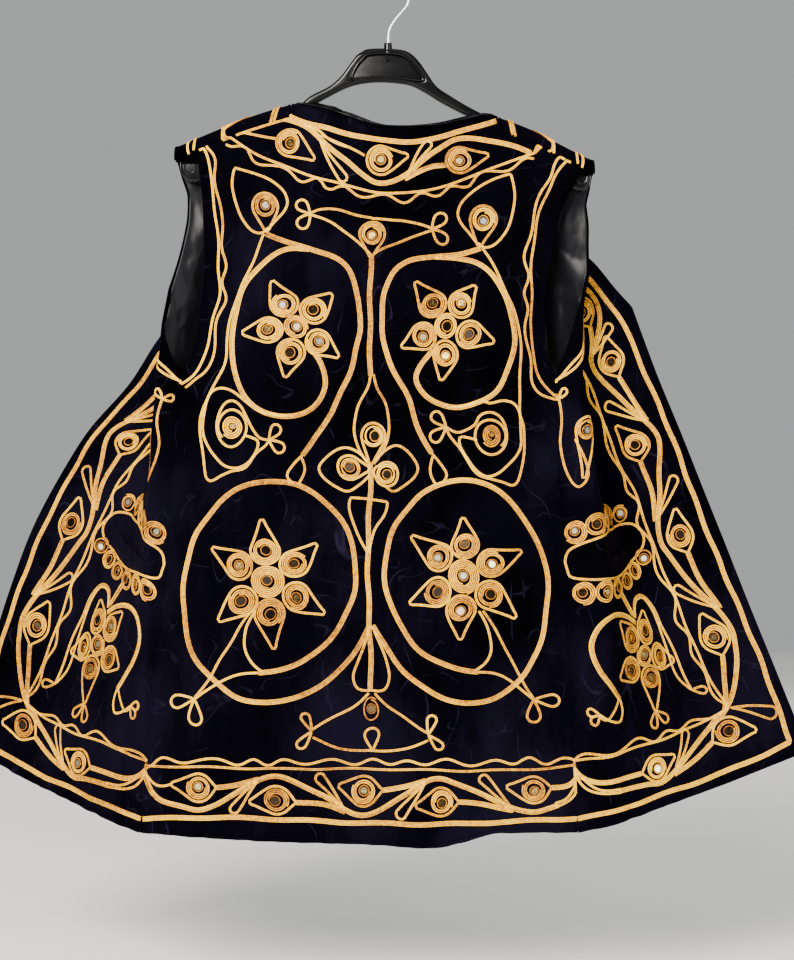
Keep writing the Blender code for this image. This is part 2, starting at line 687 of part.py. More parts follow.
def flower(maker, face, name, x, z, points, tip, notch, turn):
    """A raised star flower on the back, with a tip for each petal."""
    disc = bmesh.new()
    bmesh.ops.create_circle(disc, cap_ends=True, cap_tris=True, segments=2 * points, radius=1.0)
    bmesh.ops.subdivide_edges(disc, edges=disc.edges, cuts=STAR_CUTS, use_grid_fill=True)
    first = next(vertex.co for vertex in disc.verts if vertex.co.length > 1 - 1e-4)
    start = math.atan2(first.y, first.x)
    sector = math.pi / points
    for vertex in disc.verts:
        corner, offset = divmod(math.atan2(vertex.co.y, vertex.co.x) - start + 2 * math.pi, sector)
        straight = math.cos(sector / 2) / math.cos(offset - sector / 2)
        near, far = (tip, notch) if corner % 2 == 0 else (notch, tip)
        reach = vertex.co.length / straight * (near + (far - near) * offset / sector)
        angle = corner * sector + offset + turn
        spot = (x + reach * math.cos(angle), z + reach * math.sin(angle))
        vertex.co = face.lifted(*spot, CORD_GAP + CORD_HEIGHT)
    bmesh.ops.triangulate(disc, faces=disc.faces)
    mesh = bpy.data.meshes.new(name)
    disc.to_mesh(mesh)
    disc.free()
    thicken(placed(name, mesh, maker.pieces, maker.gold, maker.root), CORD_HEIGHT)


def flat_outline(name, outline, thickness, collection, material, root):
    """A plate of this outline, standing in the hanger's plane."""
    curve = bpy.data.curves.new(name, "CURVE")
    curve.dimensions = "2D"
    curve.fill_mode = "BOTH"
    curve.extrude = thickness / 2
    spline = curve.splines.new("POLY")
    spline.points.add(len(outline) - 1)
    for point, (x, z) in zip(spline.points, outline):
        point.co = (x, z, 0.0, 1.0)
    spline.use_cyclic_u = True
    thing = bpy.data.objects.new(name, curve)
    bpy.context.scene.collection.objects.link(thing)
    thing.rotation_euler = (math.pi / 2, 0.0, 0.0)
    bpy.context.view_layer.update()
    flat = bpy.data.meshes.new_from_object(thing.evaluated_get(bpy.context.evaluated_depsgraph_get()))
    flat.transform(thing.matrix_world)
    bpy.data.objects.remove(thing)
    plate = bmesh.new()
    plate.from_mesh(flat)
    bmesh.ops.remove_doubles(plate, verts=plate.verts, dist=1e-6)
    bmesh.ops.dissolve_limit(plate, angle_limit=math.radians(1.0), verts=plate.verts, edges=plate.edges)
    bmesh.ops.recalc_face_normals(plate, faces=plate.faces)
    plate.to_mesh(flat)
    plate.free()
    flat.name = name
    flat.materials.clear()
    return placed(name, flat, collection, material, root)


def cylinder(name, radius, low, high, collection, material, root):
    """An upright cylinder on the hook's axis."""
    bpy.ops.mesh.primitive_cylinder_add(vertices=20, radius=radius, depth=high - low)
    thing = bpy.context.object
    thing.name = name
    thing.location = (0.0, 0.0, (low + high) / 2)
    for owner in list(thing.users_collection):
        owner.objects.unlink(thing)
    collection.objects.link(thing)
    thing.data.materials.append(material)
    thing.parent = root
    return thing


def joined(thing, other, operation):
    """Cuts another shape out of this one, or joins it on, and hides the other."""
    step = thing.modifiers.new(f"{operation.lower()}_{other.name}", "BOOLEAN")
    step.operation = operation
    step.object = other
    step.solver = "EXACT"
    other.hide_render = True
    other.display_type = "WIRE"


def hanger(maker):
    """The plastic hanger: a plate with rounded edges, a thin web in its window and a collar."""
    body = flat_outline("hanger", HANGER_OUTLINE, HANGER_THICKNESS, maker.pieces, maker.plastic,
                        maker.root)
    rounding = body.modifiers.new("rounding", "BEVEL")
    rounding.width = HANGER_ROUNDING
    rounding.segments = 2
    rounding.limit_method = "ANGLE"
    rounding.angle_limit = math.radians(60.0)
    depth = HANGER_THICKNESS
    for name, side in (("window_front", -1), ("window_back", 1)):
        window = flat_outline(name, WINDOW_OUTLINE, depth, maker.cutters, maker.plastic, maker.root)
        window.location = (0.0, side * (WEB_THICKNESS + depth) / 2, 0.0)
        joined(body, window, "DIFFERENCE")
    collar = cylinder("collar", COLLAR_RADIUS, COLLAR_FOOT, COLLAR_TOP, maker.cutters, maker.plastic,
                      maker.root)
    joined(body, collar, "UNION")
    bore = cylinder("hook_bore", WIRE_RADIUS + WIRE_CLEARANCE, WIRE_FOOT - WIRE_CLEARANCE,
                    COLLAR_TOP + COLLAR_RADIUS, maker.cutters, maker.plastic, maker.root)
    joined(body, bore, "DIFFERENCE")


def hook(maker):
    """The steel wire hook: up from the collar, aside, and round over the rail."""
    angles = np.linspace(*HOOK_ARC, HOOK_ARC_STEPS)
    centre_z = -(HOOK_RADIUS - WIRE_RADIUS)
    route = [(x, z) for x, z in HOOK_ROUTE]
    route += [(HOOK_RADIUS * math.cos(a), centre_z + HOOK_RADIUS * math.sin(a)) for a in angles]
    curve = bpy.data.curves.new("hook", "CURVE")
    curve.dimensions = "3D"
    curve.bevel_depth = WIRE_RADIUS
    curve.bevel_resolution = 2
    curve.use_fill_caps = True
    spline = curve.splines.new("POLY")
    spline.points.add(len(route) - 1)
    for point, (x, z) in zip(spline.points, route):
        point.co = (x, 0.0, z, 1.0)
    placed("hook", curve, maker.pieces, maker.steel, maker.root)


def main():
    """Builds the vest, its lining, its embroidery, the hanger and the hook."""
    maker = Maker()
    grids = {}
    for side, folds, step in (("left", LEFT_FOLDS, 1), ("right", RIGHT_FOLDS, -1)):
        points, places = front_grid(FrontSurface(folds))
        grids[side] = points
        outer = points[:, ::step]
        normals = grid_normals(outer)
        maker.wall(f"front_{side}", outer, VELVET_WALL, maker.velvet)
        maker.lining(f"lining_front_{side}", outer, normals)
        front_lines(maker, side, points, places, normals[:, ::step])
        pocket(maker, side, points, places, normals[:, ::step])
    back = back_grid(grids["left"], grids["right"])
    normals = grid_normals(back)
    maker.wall("back", back, VELVET_WALL, maker.velvet)
    maker.lining("lining_back", back, normals)
    back_lines(maker, back, normals)
    back_motifs(maker, BackFace(back))
    hanger(maker)
    hook(maker)


main()
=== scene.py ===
"""Looks of an embroidered velvet vest on its hanger: creased velvet, satin lining, couched gold cord,
small mirrors, a moulded hanger and its wire hook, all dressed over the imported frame.

Lengths are in metres in the room. Cloth is also charted flat, in millimetres: a front by p, the distance
from its centre-front edge, and q, the height above its hem; the back by x to the right and y downwards.
"""

import logging
import math
import random
from dataclasses import dataclass
from enum import Enum
from functools import cache
from itertools import starmap
from typing import Callable, Optional, Sequence, TypeVar

import bmesh
import bpy
import numpy as np
from bpy.types import ID, Curve, Material, Mesh, Node, NodeSocket, NodeTree, Object
from mathutils import Matrix, Vector
from mathutils.bvhtree import BVHTree

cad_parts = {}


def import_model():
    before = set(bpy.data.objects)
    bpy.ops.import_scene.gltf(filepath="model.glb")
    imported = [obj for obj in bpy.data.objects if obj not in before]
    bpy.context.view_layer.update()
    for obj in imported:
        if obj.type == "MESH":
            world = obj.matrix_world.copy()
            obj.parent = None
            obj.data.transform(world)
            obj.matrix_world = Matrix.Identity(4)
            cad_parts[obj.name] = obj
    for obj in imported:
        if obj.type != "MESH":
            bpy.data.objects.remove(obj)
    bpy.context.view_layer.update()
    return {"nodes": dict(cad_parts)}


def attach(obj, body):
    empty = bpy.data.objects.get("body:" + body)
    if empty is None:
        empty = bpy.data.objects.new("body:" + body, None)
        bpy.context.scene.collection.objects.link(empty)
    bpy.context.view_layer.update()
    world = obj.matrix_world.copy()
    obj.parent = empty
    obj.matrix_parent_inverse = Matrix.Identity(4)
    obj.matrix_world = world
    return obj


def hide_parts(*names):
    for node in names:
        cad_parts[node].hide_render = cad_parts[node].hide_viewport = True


Array = np.ndarray
Pair = tuple[float, float]
Triple = tuple[float, float, float]

LOG = logging.getLogger("vest")
MM = 0.001
SEED = 11

# ---------- camera
EYE = np.array((0.009, -2.200, -0.5055))
LENS = 82.5
SENSOR = 36.0

# The back's chart: its corner in the room, on the plane y = 0.
CHART_CORNER = (-0.388, -0.0255)

# ---------- cut of one front, flat
# p is measured from the centre-front edge, q is the height above the hem along that edge.
NECK_FOOT_Q = 0.478
NECK_TOP = (0.105, 0.705)
SHOULDER_TIP_Q = 0.665
UNDERARM_Q = 0.450
# Side seam from the hem to the underarm, then the armhole to the shoulder.
SIDE_CUT = np.array([
    # q,     p
    (0.000, 0.258),
    (0.075, 0.245),
    (0.150, 0.232),
    (0.239, 0.214),
    (0.330, 0.207),
    (0.400, 0.205),
    (0.450, 0.203),
    (0.480, 0.190),
    (0.510, 0.181),
    (0.545, 0.179),
    (0.600, 0.187),
    (0.635, 0.197),
    (0.665, 0.205),
])

# ---------- folds of the hung fronts
# A level q of a front runs from its centre edge (c) to the fold that turns it out (v), on to the
# fold beside the back (r) and to the side seam (s). fold is the radius of both folds, width the
# flat length from c to s. Past the armhole r and s only guide the surface. These two tables are
# written in millimetres.
RIGHT_FOLDS = MM * np.array([
    # q,  cx,   cy,   cz,   vx,   vy,  vz,   rx,   ry,  rz,   sx,   sy,  sz,  fold, width
    (0, 430, 62, -783, 348, 58, -815, 223, -6, -849, 190, -3, -856, 30, 258),
    (75, 403, 76, -712, 320, 72, -745, 219, -8, -779, 186, -3, -781, 28, 245),
    (150, 375, 82, -641, 291, 80, -674, 217, -9, -703, 183, -3, -705, 26, 232),
    (239, 340, 76, -555, 253, 74, -589, 216, -9, -609, 178, -3, -615, 21, 214),
    (330, 304, 66, -468, 209, 62, -506, 211, -8, -517, 174, -3, -524, 13, 207),
    (400, 276, 58, -402, 177, 53, -442, 208, -7, -448, 170, -3, -454, 9, 205),
    (450, 257, 52, -354, 156, 47, -394, 206, -6, -399, 168, -3, -406, 8, 203),
    (500, 240, 49, -309, 148, 44, -343, 206, -5, -351, 169, -3, -356, 8, 203),
    (535, 224, 54, -270, 142, 40, -311, 209, -2, -318, 176, -2, -320, 8, 205),
    (600, 187, 80, -228, 117, 26, -252, 221, 3, -258, 206, 2, -260, 8, 217),
    (655, 90, 85, -203, 96, 9.7, -203, 238, 9.7, -206, 246, 9.7, -206, 8, 252),
    (705, 15, 9.7, -151, 86, 9.7, -153, 238, 9.7, -156, 245.5, 9.7, -156, 8, 250),
])
LEFT_FOLDS = MM * np.array([
    # q,  cx,   cy,   cz,   vx,   vy,  vz,   rx,   ry,  rz,   sx,   sy,  sz,  fold, width
    (0, -452, 150, -785, -383, 100, -815, -267, -5, -849, -248, -3, -856, 30, 258),
    (75, -426, 140, -705, -354, 100, -744, -255, -7, -777, -241, -3, -781, 28, 245),
    (150, -402, 130, -629, -325, 95, -666, -245, -8, -697, -234, -3, -706, 25, 232),
    (239, -366, 115, -543, -285, 80, -579, -240, -8, -610, -226, -3, -617, 20, 214),
    (330, -318, 112, -461, -239, 72, -497, -241, -7, -520, -218, -3, -526, 13, 207),
    (400, -270, 100, -406, -198, 58, -454, -244, -6, -452, -212, -3, -457, 9, 205),
    (450, -241, 98, -362, -176, 50, -409, -243, -5, -405, -207, -3, -407, 8, 203),
    (500, -206, 80, -319, -151, 44, -357, -238, -4, -358, -208, -3, -358, 8, 203),
    (535, -196, 74, -285, -133, 40, -318, -232, -2, -318, -200, -2, -320, 8, 206),
    (600, -158, 80, -224, -105, 26, -247, -226, 3, -252, -212, 2, -254, 8, 220),
    (655, -72, 85, -190, -77, 9.7, -190, -250, 9.7, -193, -258, 9.7, -193, 8, 252),
    (705, 18, 9.7, -138, -69, 9.7, -140, -250, 9.7, -143, -260, 9.7, -143, 8, 250),
])

# ---------- cut of the back, as it hangs
# Edges of the back from the shoulder to the underarm; below it the side seams follow the fronts.
BACK_ARMHOLES = np.array([
    # share, left x,  left z,  right x, right z
    (0.00, -0.1880, -0.1830, 0.1930, -0.1950),
    (0.20, -0.1830, -0.2290, 0.1700, -0.2400),
    (0.45, -0.1810, -0.2890, 0.1600, -0.2890),
    (0.62, -0.1840, -0.3200, 0.1545, -0.3300),
    (0.82, -0.1920, -0.3710, 0.1550, -0.3700),
    (1.00, -0.2060, -0.4070, 0.1670, -0.4060),
])
NECKLINE = np.array([
    # x,      z
    (-0.0990, -0.1400), (-0.0958, -0.1322), (-0.0900, -0.1314), (-0.0830, -0.1327), (-0.0760, -0.1344),
    (-0.0660, -0.1366), (-0.0520, -0.1414), (-0.0360, -0.1470), (-0.0200, -0.1518), (-0.0040, -0.1543),
    (0.0120, -0.1547), (0.0280, -0.1541), (0.0500, -0.1520), (0.0700, -0.1480), (0.0850, -0.1448),
    (0.0990, -0.1428), (0.1085, -0.1440), (0.1120, -0.1520),
])
HEM = np.array([
    # x,      z
    (-0.2480, -0.8560), (-0.1740, -0.8610), (-0.0830, -0.8640), (-0.0220, -0.8665), (0.0400, -0.8700),
    (0.0750, -0.8640), (0.1080, -0.8555), (0.1410, -0.8555), (0.1900, -0.8560),
])
# How far the back stands out in front of the hanger's middle plane.
BACK_DEPTH = np.array([
    # z,      at the edges, along the middle, ripple
    (-0.130, -0.0097, -0.0097, 0.0000),
    (-0.200, -0.0100, -0.0110, 0.0000),
    (-0.300, -0.0080, -0.0140, 0.0004),
    (-0.410, -0.0030, -0.0160, 0.0010),
    (-0.620, -0.0030, -0.0170, 0.0016),
    (-0.870, -0.0030, -0.0140, 0.0024),
])
RIPPLE_WAVES = 2.5
RIPPLE_START = 0.6
MIDDLE_FLATNESS = 3.0

# ---------- outlines of the hanger in its plane, in millimetres
HANGER_OUTLINE = np.array([
    # x, z
    (-23, -75.5), (13, -75.5), (22.5, -79), (32, -88.5), (41, -101.5), (49, -112.5), (63, -122), (76, -130),
    (92, -138.5), (112, -148.4), (157, -169.1), (188, -183.2), (198, -190), (202, -200.5), (201, -211.5),
    (192, -217.5), (157, -195.5), (112, -161.5), (84, -144), (76, -140.5), (53, -128.5), (36, -118),
    (22.5, -111.5), (2.5, -108.5), (-18, -108.5), (-38, -112.5), (-58, -122), (-79, -134), (-100, -147.5),
    (-148, -176.5), (-190, -208.5), (-202, -205.5), (-207.5, -194.5), (-206, -183.5), (-200, -175),
    (-190, -169.4), (-149, -154), (-100, -135.4), (-90, -131.3), (-78, -122), (-58, -111.5), (-47, -101.5),
    (-40.4, -92.5), (-31, -80.5),
])
WINDOW_OUTLINE = np.array([
    # x, z
    (-22, -81.5), (15, -81.5), (23, -88), (31, -99), (35, -106), (18, -105), (2.5, -103.5), (-18, -103.5),
    (-34, -106), (-36, -103), (-30, -90),
])

# ---------- cloth
VELVET_WALL = 0.0013
SATIN_WALL = 0.0010
LINING_GAP = 0.0003
SEAM_GAP = 0.0004
SHOULDER_DROP = 0.005


@dataclass(frozen=True)
class Fineness:
    """How many rows, columns and samples the cloth's grids have."""

    lower_rows: int = 110
    upper_rows: int = 54
    wrap_rows: int = 9
    front_columns: int = 80
    shoulder_columns: int = 28
    neck_columns: int = 48
    levels: int = 141
    samples: int = 221
    arc_steps: int = 22
    smoothings: int = 120
    cell: float = 0.030
    turn: float = math.radians(42.0)


FINE = Fineness()


@dataclass(frozen=True)
class Crease:
    """A soft fold, on a panel's chart, in millimetres.

    Attributes:
        path: The places it passes.
        width: Half its width.
        height: Its height where it is deepest, negative for a trough.
    """

    path: tuple[Pair, ...]
    width: float
    height: float


BACK_CREASES = tuple(starmap(Crease, (
    # path, width, height
    (((372, 210), (366, 300), (373, 420)), 16, -1.7),
    (((340, 215), (336, 240), (350, 262)), 9, 1.0),
    (((232, 240), (222, 300), (226, 392)), 12, 1.5),
    (((249, 262), (236, 330), (244, 400)), 9, -1.1),
    (((318, 395), (300, 450), (308, 520)), 12, -1.6),
    (((330, 350), (352, 400), (349, 452)), 9, 1.2),
    (((430, 395), (447, 455), (441, 520)), 12, -1.4),
    (((530, 260), (519, 340), (523, 430)), 12, 1.6),
    (((372, 500), (369, 600), (371, 668)), 13, -1.3),
    (((196, 480), (176, 560), (171, 690)), 13, -1.8),
    (((222, 500), (208, 600), (193, 742)), 11, 1.4),
    (((545, 470), (566, 560), (563, 700)), 13, -1.7),
    (((520, 690), (545, 742), (541, 800)), 12, 1.2),
    (((270, 690), (282, 742), (277, 830)), 15, 1.8),
    (((322, 700), (330, 752), (325, 835)), 12, -1.6),
    (((432, 690), (416, 752), (421, 838)), 15, 1.9),
    (((478, 700), (486, 770), (482, 838)), 12, -1.7),
    (((160, 742), (280, 748), (420, 752)), 4.5, -0.9),
    (((430, 752), (500, 749), (575, 744)), 4.5, -0.7),
    (((240, 150), (300, 205), (350, 222)), 10, -1.0),
    (((505, 150), (450, 205), (400, 222)), 10, -1.0),
)))
FRONT_CREASES = tuple(starmap(Crease, (
    # path, width, height
    (((24, 60), (20, 200), (22, 330)), 9, 0.9),
    (((92, 20), (96, 130), (84, 250)), 13, -1.6),
    (((122, 10), (128, 90), (118, 175)), 11, 1.7),
    (((215, 12), (222, 90), (208, 200)), 12, -1.5),
    (((150, 290), (138, 370), (128, 450)), 12, 1.6),
    (((184, 300), (178, 360), (168, 440)), 9, -1.3),
    (((96, 300), (104, 390), (88, 470)), 11, -1.3),
    (((128, 480), (140, 540), (134, 610)), 11, 1.5),
    (((168, 500), (160, 560), (172, 630)), 9, -1.2),
    (((98, 250), (150, 262), (200, 259)), 7, -1.0),
)))
LINING_CREASES = tuple(starmap(Crease, (
    # path, width, height
    (((60, 20), (90, 180), (60, 330)), 14, 1.4),
    (((150, 30), (120, 160), (150, 300)), 10, -1.6),
    (((190, 300), (150, 360), (120, 470)), 8, 1.3),
    (((198, 420), (160, 440), (110, 430)), 7, -1.2),
    (((186, 500), (150, 530), (110, 520)), 7, 1.1),
    (((196, 560), (150, 590), (120, 640)), 8, -1.3),
    (((60, 400), (100, 430), (140, 400)), 8, 1.0),
    (((70, 520), (110, 560), (90, 620)), 9, -1.2),
)))
BACK_LINING_CREASES = tuple(starmap(Crease, (
    # path, width, height
    (((250, 200), (280, 330), (260, 480)), 13, 1.4),
    (((330, 190), (350, 330), (330, 520)), 11, -1.5),
    (((430, 190), (410, 330), (440, 500)), 12, 1.3),
    (((500, 230), (480, 360), (510, 520)), 12, -1.3),
    (((220, 520), (240, 640), (220, 800)), 13, -1.4),
    (((310, 540), (330, 680), (310, 820)), 12, 1.5),
    (((400, 560), (380, 690), (400, 830)), 12, -1.4),
    (((500, 540), (520, 680), (500, 820)), 13, 1.4),
)))
# Slow rolls of the whole cloth: length in millimetres, heading in degrees, height, start.
ROLLS = ((171.0, 8.0, 0.8, 0.4), (113.0, 71.0, 0.5, 2.1), (67.0, -28.0, 0.3, 4.0))
SEAM_FADE = 16.0
TOP_FADE_ROWS = (1.0, 7.0)
CREASE_STEP = 8.0
CREASE_ENDS = (0.02, 0.98)
CREASE_TAPER = 0.7
# How far the lining stands off the velvet where no crease of its own changes that.
LINING_SLACK = 1.2
# Puckers of the hem: length in millimetres, height, start; and how far up they reach.
PUCKERS = ((23.0, 1.0, 0.0), (37.0, 0.8, 1.3), (15.0, 0.4, 2.0))
PUCKER_REACH = 13.0


def eased(knots: Array, values: Array, at: Array) -> Array:
    """Values between the knots on a cubic that never overshoots them.

    Args:
        knots: Rising places that have a value.
        values: The value at each of them.
        at: The places to read.

    Returns:
        The value at each place.
    """
    step = np.diff(knots)
    slope = np.diff(values) / step
    product = slope[:-1] * slope[1:]
    total = np.where(product > 0, slope[:-1] + slope[1:], 1.0)
    inner = np.where(product > 0, 2 * product / total, 0.0)
    tangent = np.concatenate((slope[:1], inner, slope[-1:]))
    at = np.clip(at, knots[0], knots[-1])
    i = np.clip(np.searchsorted(knots, at, side="right") - 1, 0, len(step) - 1)
    t = (at - knots[i]) / step[i]
    start = values[i] * (1 + 2 * t) * (1 - t) ** 2 + tangent[i] * step[i] * t * (1 - t) ** 2
    end = values[i + 1] * t**2 * (3 - 2 * t) - tangent[i + 1] * step[i] * t**2 * (1 - t)
    return start + end


def unit(vectors: Array) -> Array:
    """The vectors at length one, along their last axis."""
    return vectors / np.maximum(np.linalg.norm(vectors, axis=-1, keepdims=True), 1e-12)


def smoothstep(low: float, high: float, at: Array) -> Array:
    """A soft rise from 0 at low to 1 at high."""
    t = np.clip((at - low) / (high - low), 0.0, 1.0)
    return t * t * (3 - 2 * t)


def waves(at: Array, table: Sequence[Triple]) -> Array:
    """A sum of waves along a line, each with its length, height and start."""
    return sum(height * np.sin(2 * math.pi * at / length + start) for length, height, start in table)


def gaps(path: Array) -> Array:
    """How far each point of a path is from the next."""
    return np.linalg.norm(np.diff(path, axis=0), axis=1)


def run_along(path: Array) -> Array:
    """How far along a path each of its points lies."""
    return np.concatenate(([0.0], np.cumsum(gaps(path))))


def left_of(ahead: Array) -> Array:
    """Flat directions, a quarter turned from these."""
    return np.stack((-ahead[:, 1], ahead[:, 0]), axis=1)


def corner_arc(before: Array, corner: Array, after: Array, radius: float) -> Array:
    """Points round one corner of a polyline, on an arc that touches both of its runs."""
    back, ahead = unit(before - corner), unit(after - corner)
    half = 0.5 * math.acos(np.clip(back @ ahead, -1.0, 1.0))
    room = 0.47 * min(np.linalg.norm(before - corner), np.linalg.norm(after - corner))
    reach = min(radius / math.tan(half), room)
    fitted = reach * math.tan(half)
    centre = corner + unit(back + ahead) * fitted / math.sin(half)
    start = corner + back * reach - centre
    side = unit(ahead * reach - back * reach - ((ahead - back) @ start) * reach * start / (start @ start))
    sweep = np.linspace(0.0, math.pi - 2 * half, FINE.arc_steps)[:, None]
    return centre + start * np.cos(sweep) + side * fitted * np.sin(sweep)


def even_points(path: Array, count: int) -> Array:
    """Points at even steps along a path."""
    run = run_along(path)
    at = np.linspace(0.0, run[-1], count)
    return np.stack([np.interp(at, run, path[:, axis]) for axis in range(path.shape[1])], axis=1)


class FrontSurface:
    """One front as it hangs: the place in the room of each place on its flat cut."""

    def __init__(self, folds: Array) -> None:
        self.levels = np.linspace(folds[0, 0], folds[-1, 0], FINE.levels)
        columns = [eased(folds[:, 0], folds[:, k], self.levels) for k in range(1, folds.shape[1])]
        self.width = columns[-1]
        self.points = np.array([self.level_points(row) for row in np.stack(columns, axis=1)])

    @staticmethod
    def level_points(row: Array) -> Array:
        """One level's points, from the centre edge to the side seam."""
        c, v, r, s = row[:12].reshape(4, 3)
        radius = row[12]
        path = np.vstack((c, corner_arc(c, v, r, radius), corner_arc(v, r, s, radius), s))
        return even_points(path, FINE.samples)

    def at(self, p: Array, q: Array) -> Array:
        """Points in the room for flat places p, q."""
        q = np.clip(q, self.levels[0], self.levels[-1])
        level = (q - self.levels[0]) / (self.levels[1] - self.levels[0])
        i = np.minimum(level.astype(int), FINE.levels - 2)
        up = (level - i)[:, None]
        across = np.clip(p / np.interp(q, self.levels, self.width), 0.0, 1.0) * (FINE.samples - 1)
        j = np.minimum(across.astype(int), FINE.samples - 2)
        on = (across - j)[:, None]
        low = self.points[i, j] * (1 - on) + self.points[i, j + 1] * on
        high = self.points[i + 1, j] * (1 - on) + self.points[i + 1, j + 1] * on
        return low * (1 - up) + high * up


def centre_cut(q: Array) -> Array:
    """The front's centre edge and neck edge: p at a level q."""
    past_foot = np.maximum(q - NECK_FOOT_Q, 0.0)
    return NECK_TOP[0] * past_foot / (NECK_TOP[1] - NECK_FOOT_Q)


def side_cut(q: Array) -> Array:
    """The front's side seam and armhole: p at a level q."""
    return eased(SIDE_CUT[:, 0], SIDE_CUT[:, 1], q)


def row_shares() -> tuple[Array, Array]:
    """How far up each row below the underarm stands, and each row above it."""
    lower = np.linspace(0.0, 1.0, FINE.lower_rows + 1)
    return lower, np.linspace(0.0, 1.0, FINE.upper_rows + 1)[1:]


def even_columns(line: Array, shares: Array) -> Array:
    """Where columns stand along a row, closer together on its folds."""
    lengths = gaps(line)
    headings = np.diff(line, axis=0) / lengths[:, None]
    turns = np.arccos(np.clip((headings[1:] * headings[:-1]).sum(axis=1), -1.0, 1.0))
    effort = lengths / FINE.cell + np.append(turns, 0.0) / FINE.turn
    done = np.concatenate(([0.0], np.cumsum(effort)))
    return np.interp(np.linspace(0.0, done[-1], FINE.front_columns + 1), done, shares)


def front_grid(surface: FrontSurface) -> tuple[Array, Array]:
    """A front's points by row and column.

    Args:
        surface: The hung form of that front.

    Returns:
        The points, rows running up from the hem and over the shoulder and columns from the centre
        edge, and the flat place p, q of each in millimetres.
    """
    shares = np.linspace(0.0, 1.0, FINE.samples)
    lower, upper = row_shares()
    q_centre = np.concatenate((lower * NECK_FOOT_Q, NECK_FOOT_Q + upper * (NECK_TOP[1] - NECK_FOOT_Q)))
    q_side = np.concatenate((lower * UNDERARM_Q, UNDERARM_Q + upper * (SHOULDER_TIP_Q - UNDERARM_Q)))
    q_centre, q_side = q_centre[:, None], q_side[:, None]
    p_centre, p_side = centre_cut(q_centre), side_cut(q_side)
    stand = np.array([
        even_columns(surface.at(p0 + shares * (p1 - p0), q0 + shares * (q1 - q0)), shares)
        for p0, p1, q0, q1 in zip(p_centre, p_side, q_centre, q_side)
    ])
    for _ in range(FINE.smoothings):
        stand[1:-1] = (stand[:-2] + 2 * stand[1:-1] + stand[2:]) / 4
    p = p_centre + stand * (p_side - p_centre)
    q = q_centre + stand * (q_side - q_centre)
    places = list(np.stack((p, q), axis=-1))
    points = [surface.at(*place.T) for place in places]
    top = points[-1]
    radius = top[:, 1]
    for angle in np.linspace(0.0, math.pi, FINE.wrap_rows)[1:]:
        turned = top.copy()
        turned[:, 1] = radius * math.cos(angle)
        turned[:, 2] = top[:, 2] + radius * math.sin(angle)
        points.append(turned)
        places.append(places[-1] + (0.0, radius[0] * math.pi / (FINE.wrap_rows - 1)))
    points.append(points[-1] - (0.0, 0.0, SHOULDER_DROP))
    places.append(places[-1] + (0.0, SHOULDER_DROP))
    return np.array(points), np.array(places) / MM


def back_depth(x: Array, z: Array) -> Array:
    """How far forward the back hangs at each point of its rows."""
    left, right = x[:, :1], x[:, -1:]
    across = np.clip(2 * (x - left) / (right - left) - 1, -1.0, 1.0)
    heights = -BACK_DEPTH[:, 0]
    edge, middle, ripple = (eased(heights, BACK_DEPTH[:, k], -z) for k in (1, 2, 3))
    fullness = 1 - np.abs(across) ** MIDDLE_FLATNESS
    wave = np.sin(math.pi * RIPPLE_WAVES * across + RIPPLE_START) * fullness
    return edge + (middle - edge) * fullness + ripple * wave


def back_sides(left_front: Array, right_front: Array) -> tuple[Array, Array]:
    """The back's left and right edges, row by row from the hem to the shoulder."""
    seam_rows = slice(0, FINE.lower_rows + 1)
    left = left_front[seam_rows, -1] + (SEAM_GAP, 0.0, 0.0)
    right = right_front[seam_rows, -1] - (SEAM_GAP, 0.0, 0.0)
    shares = 1 - row_shares()[1]
    curve = [eased(BACK_ARMHOLES[:, 0], BACK_ARMHOLES[:, k], shares) for k in range(1, 5)]
    none = np.zeros(FINE.upper_rows)
    left = np.vstack((left, np.stack((curve[0], none, curve[1]), axis=1)))
    right = np.vstack((right, np.stack((curve[2], none, curve[3]), axis=1)))
    return left, right


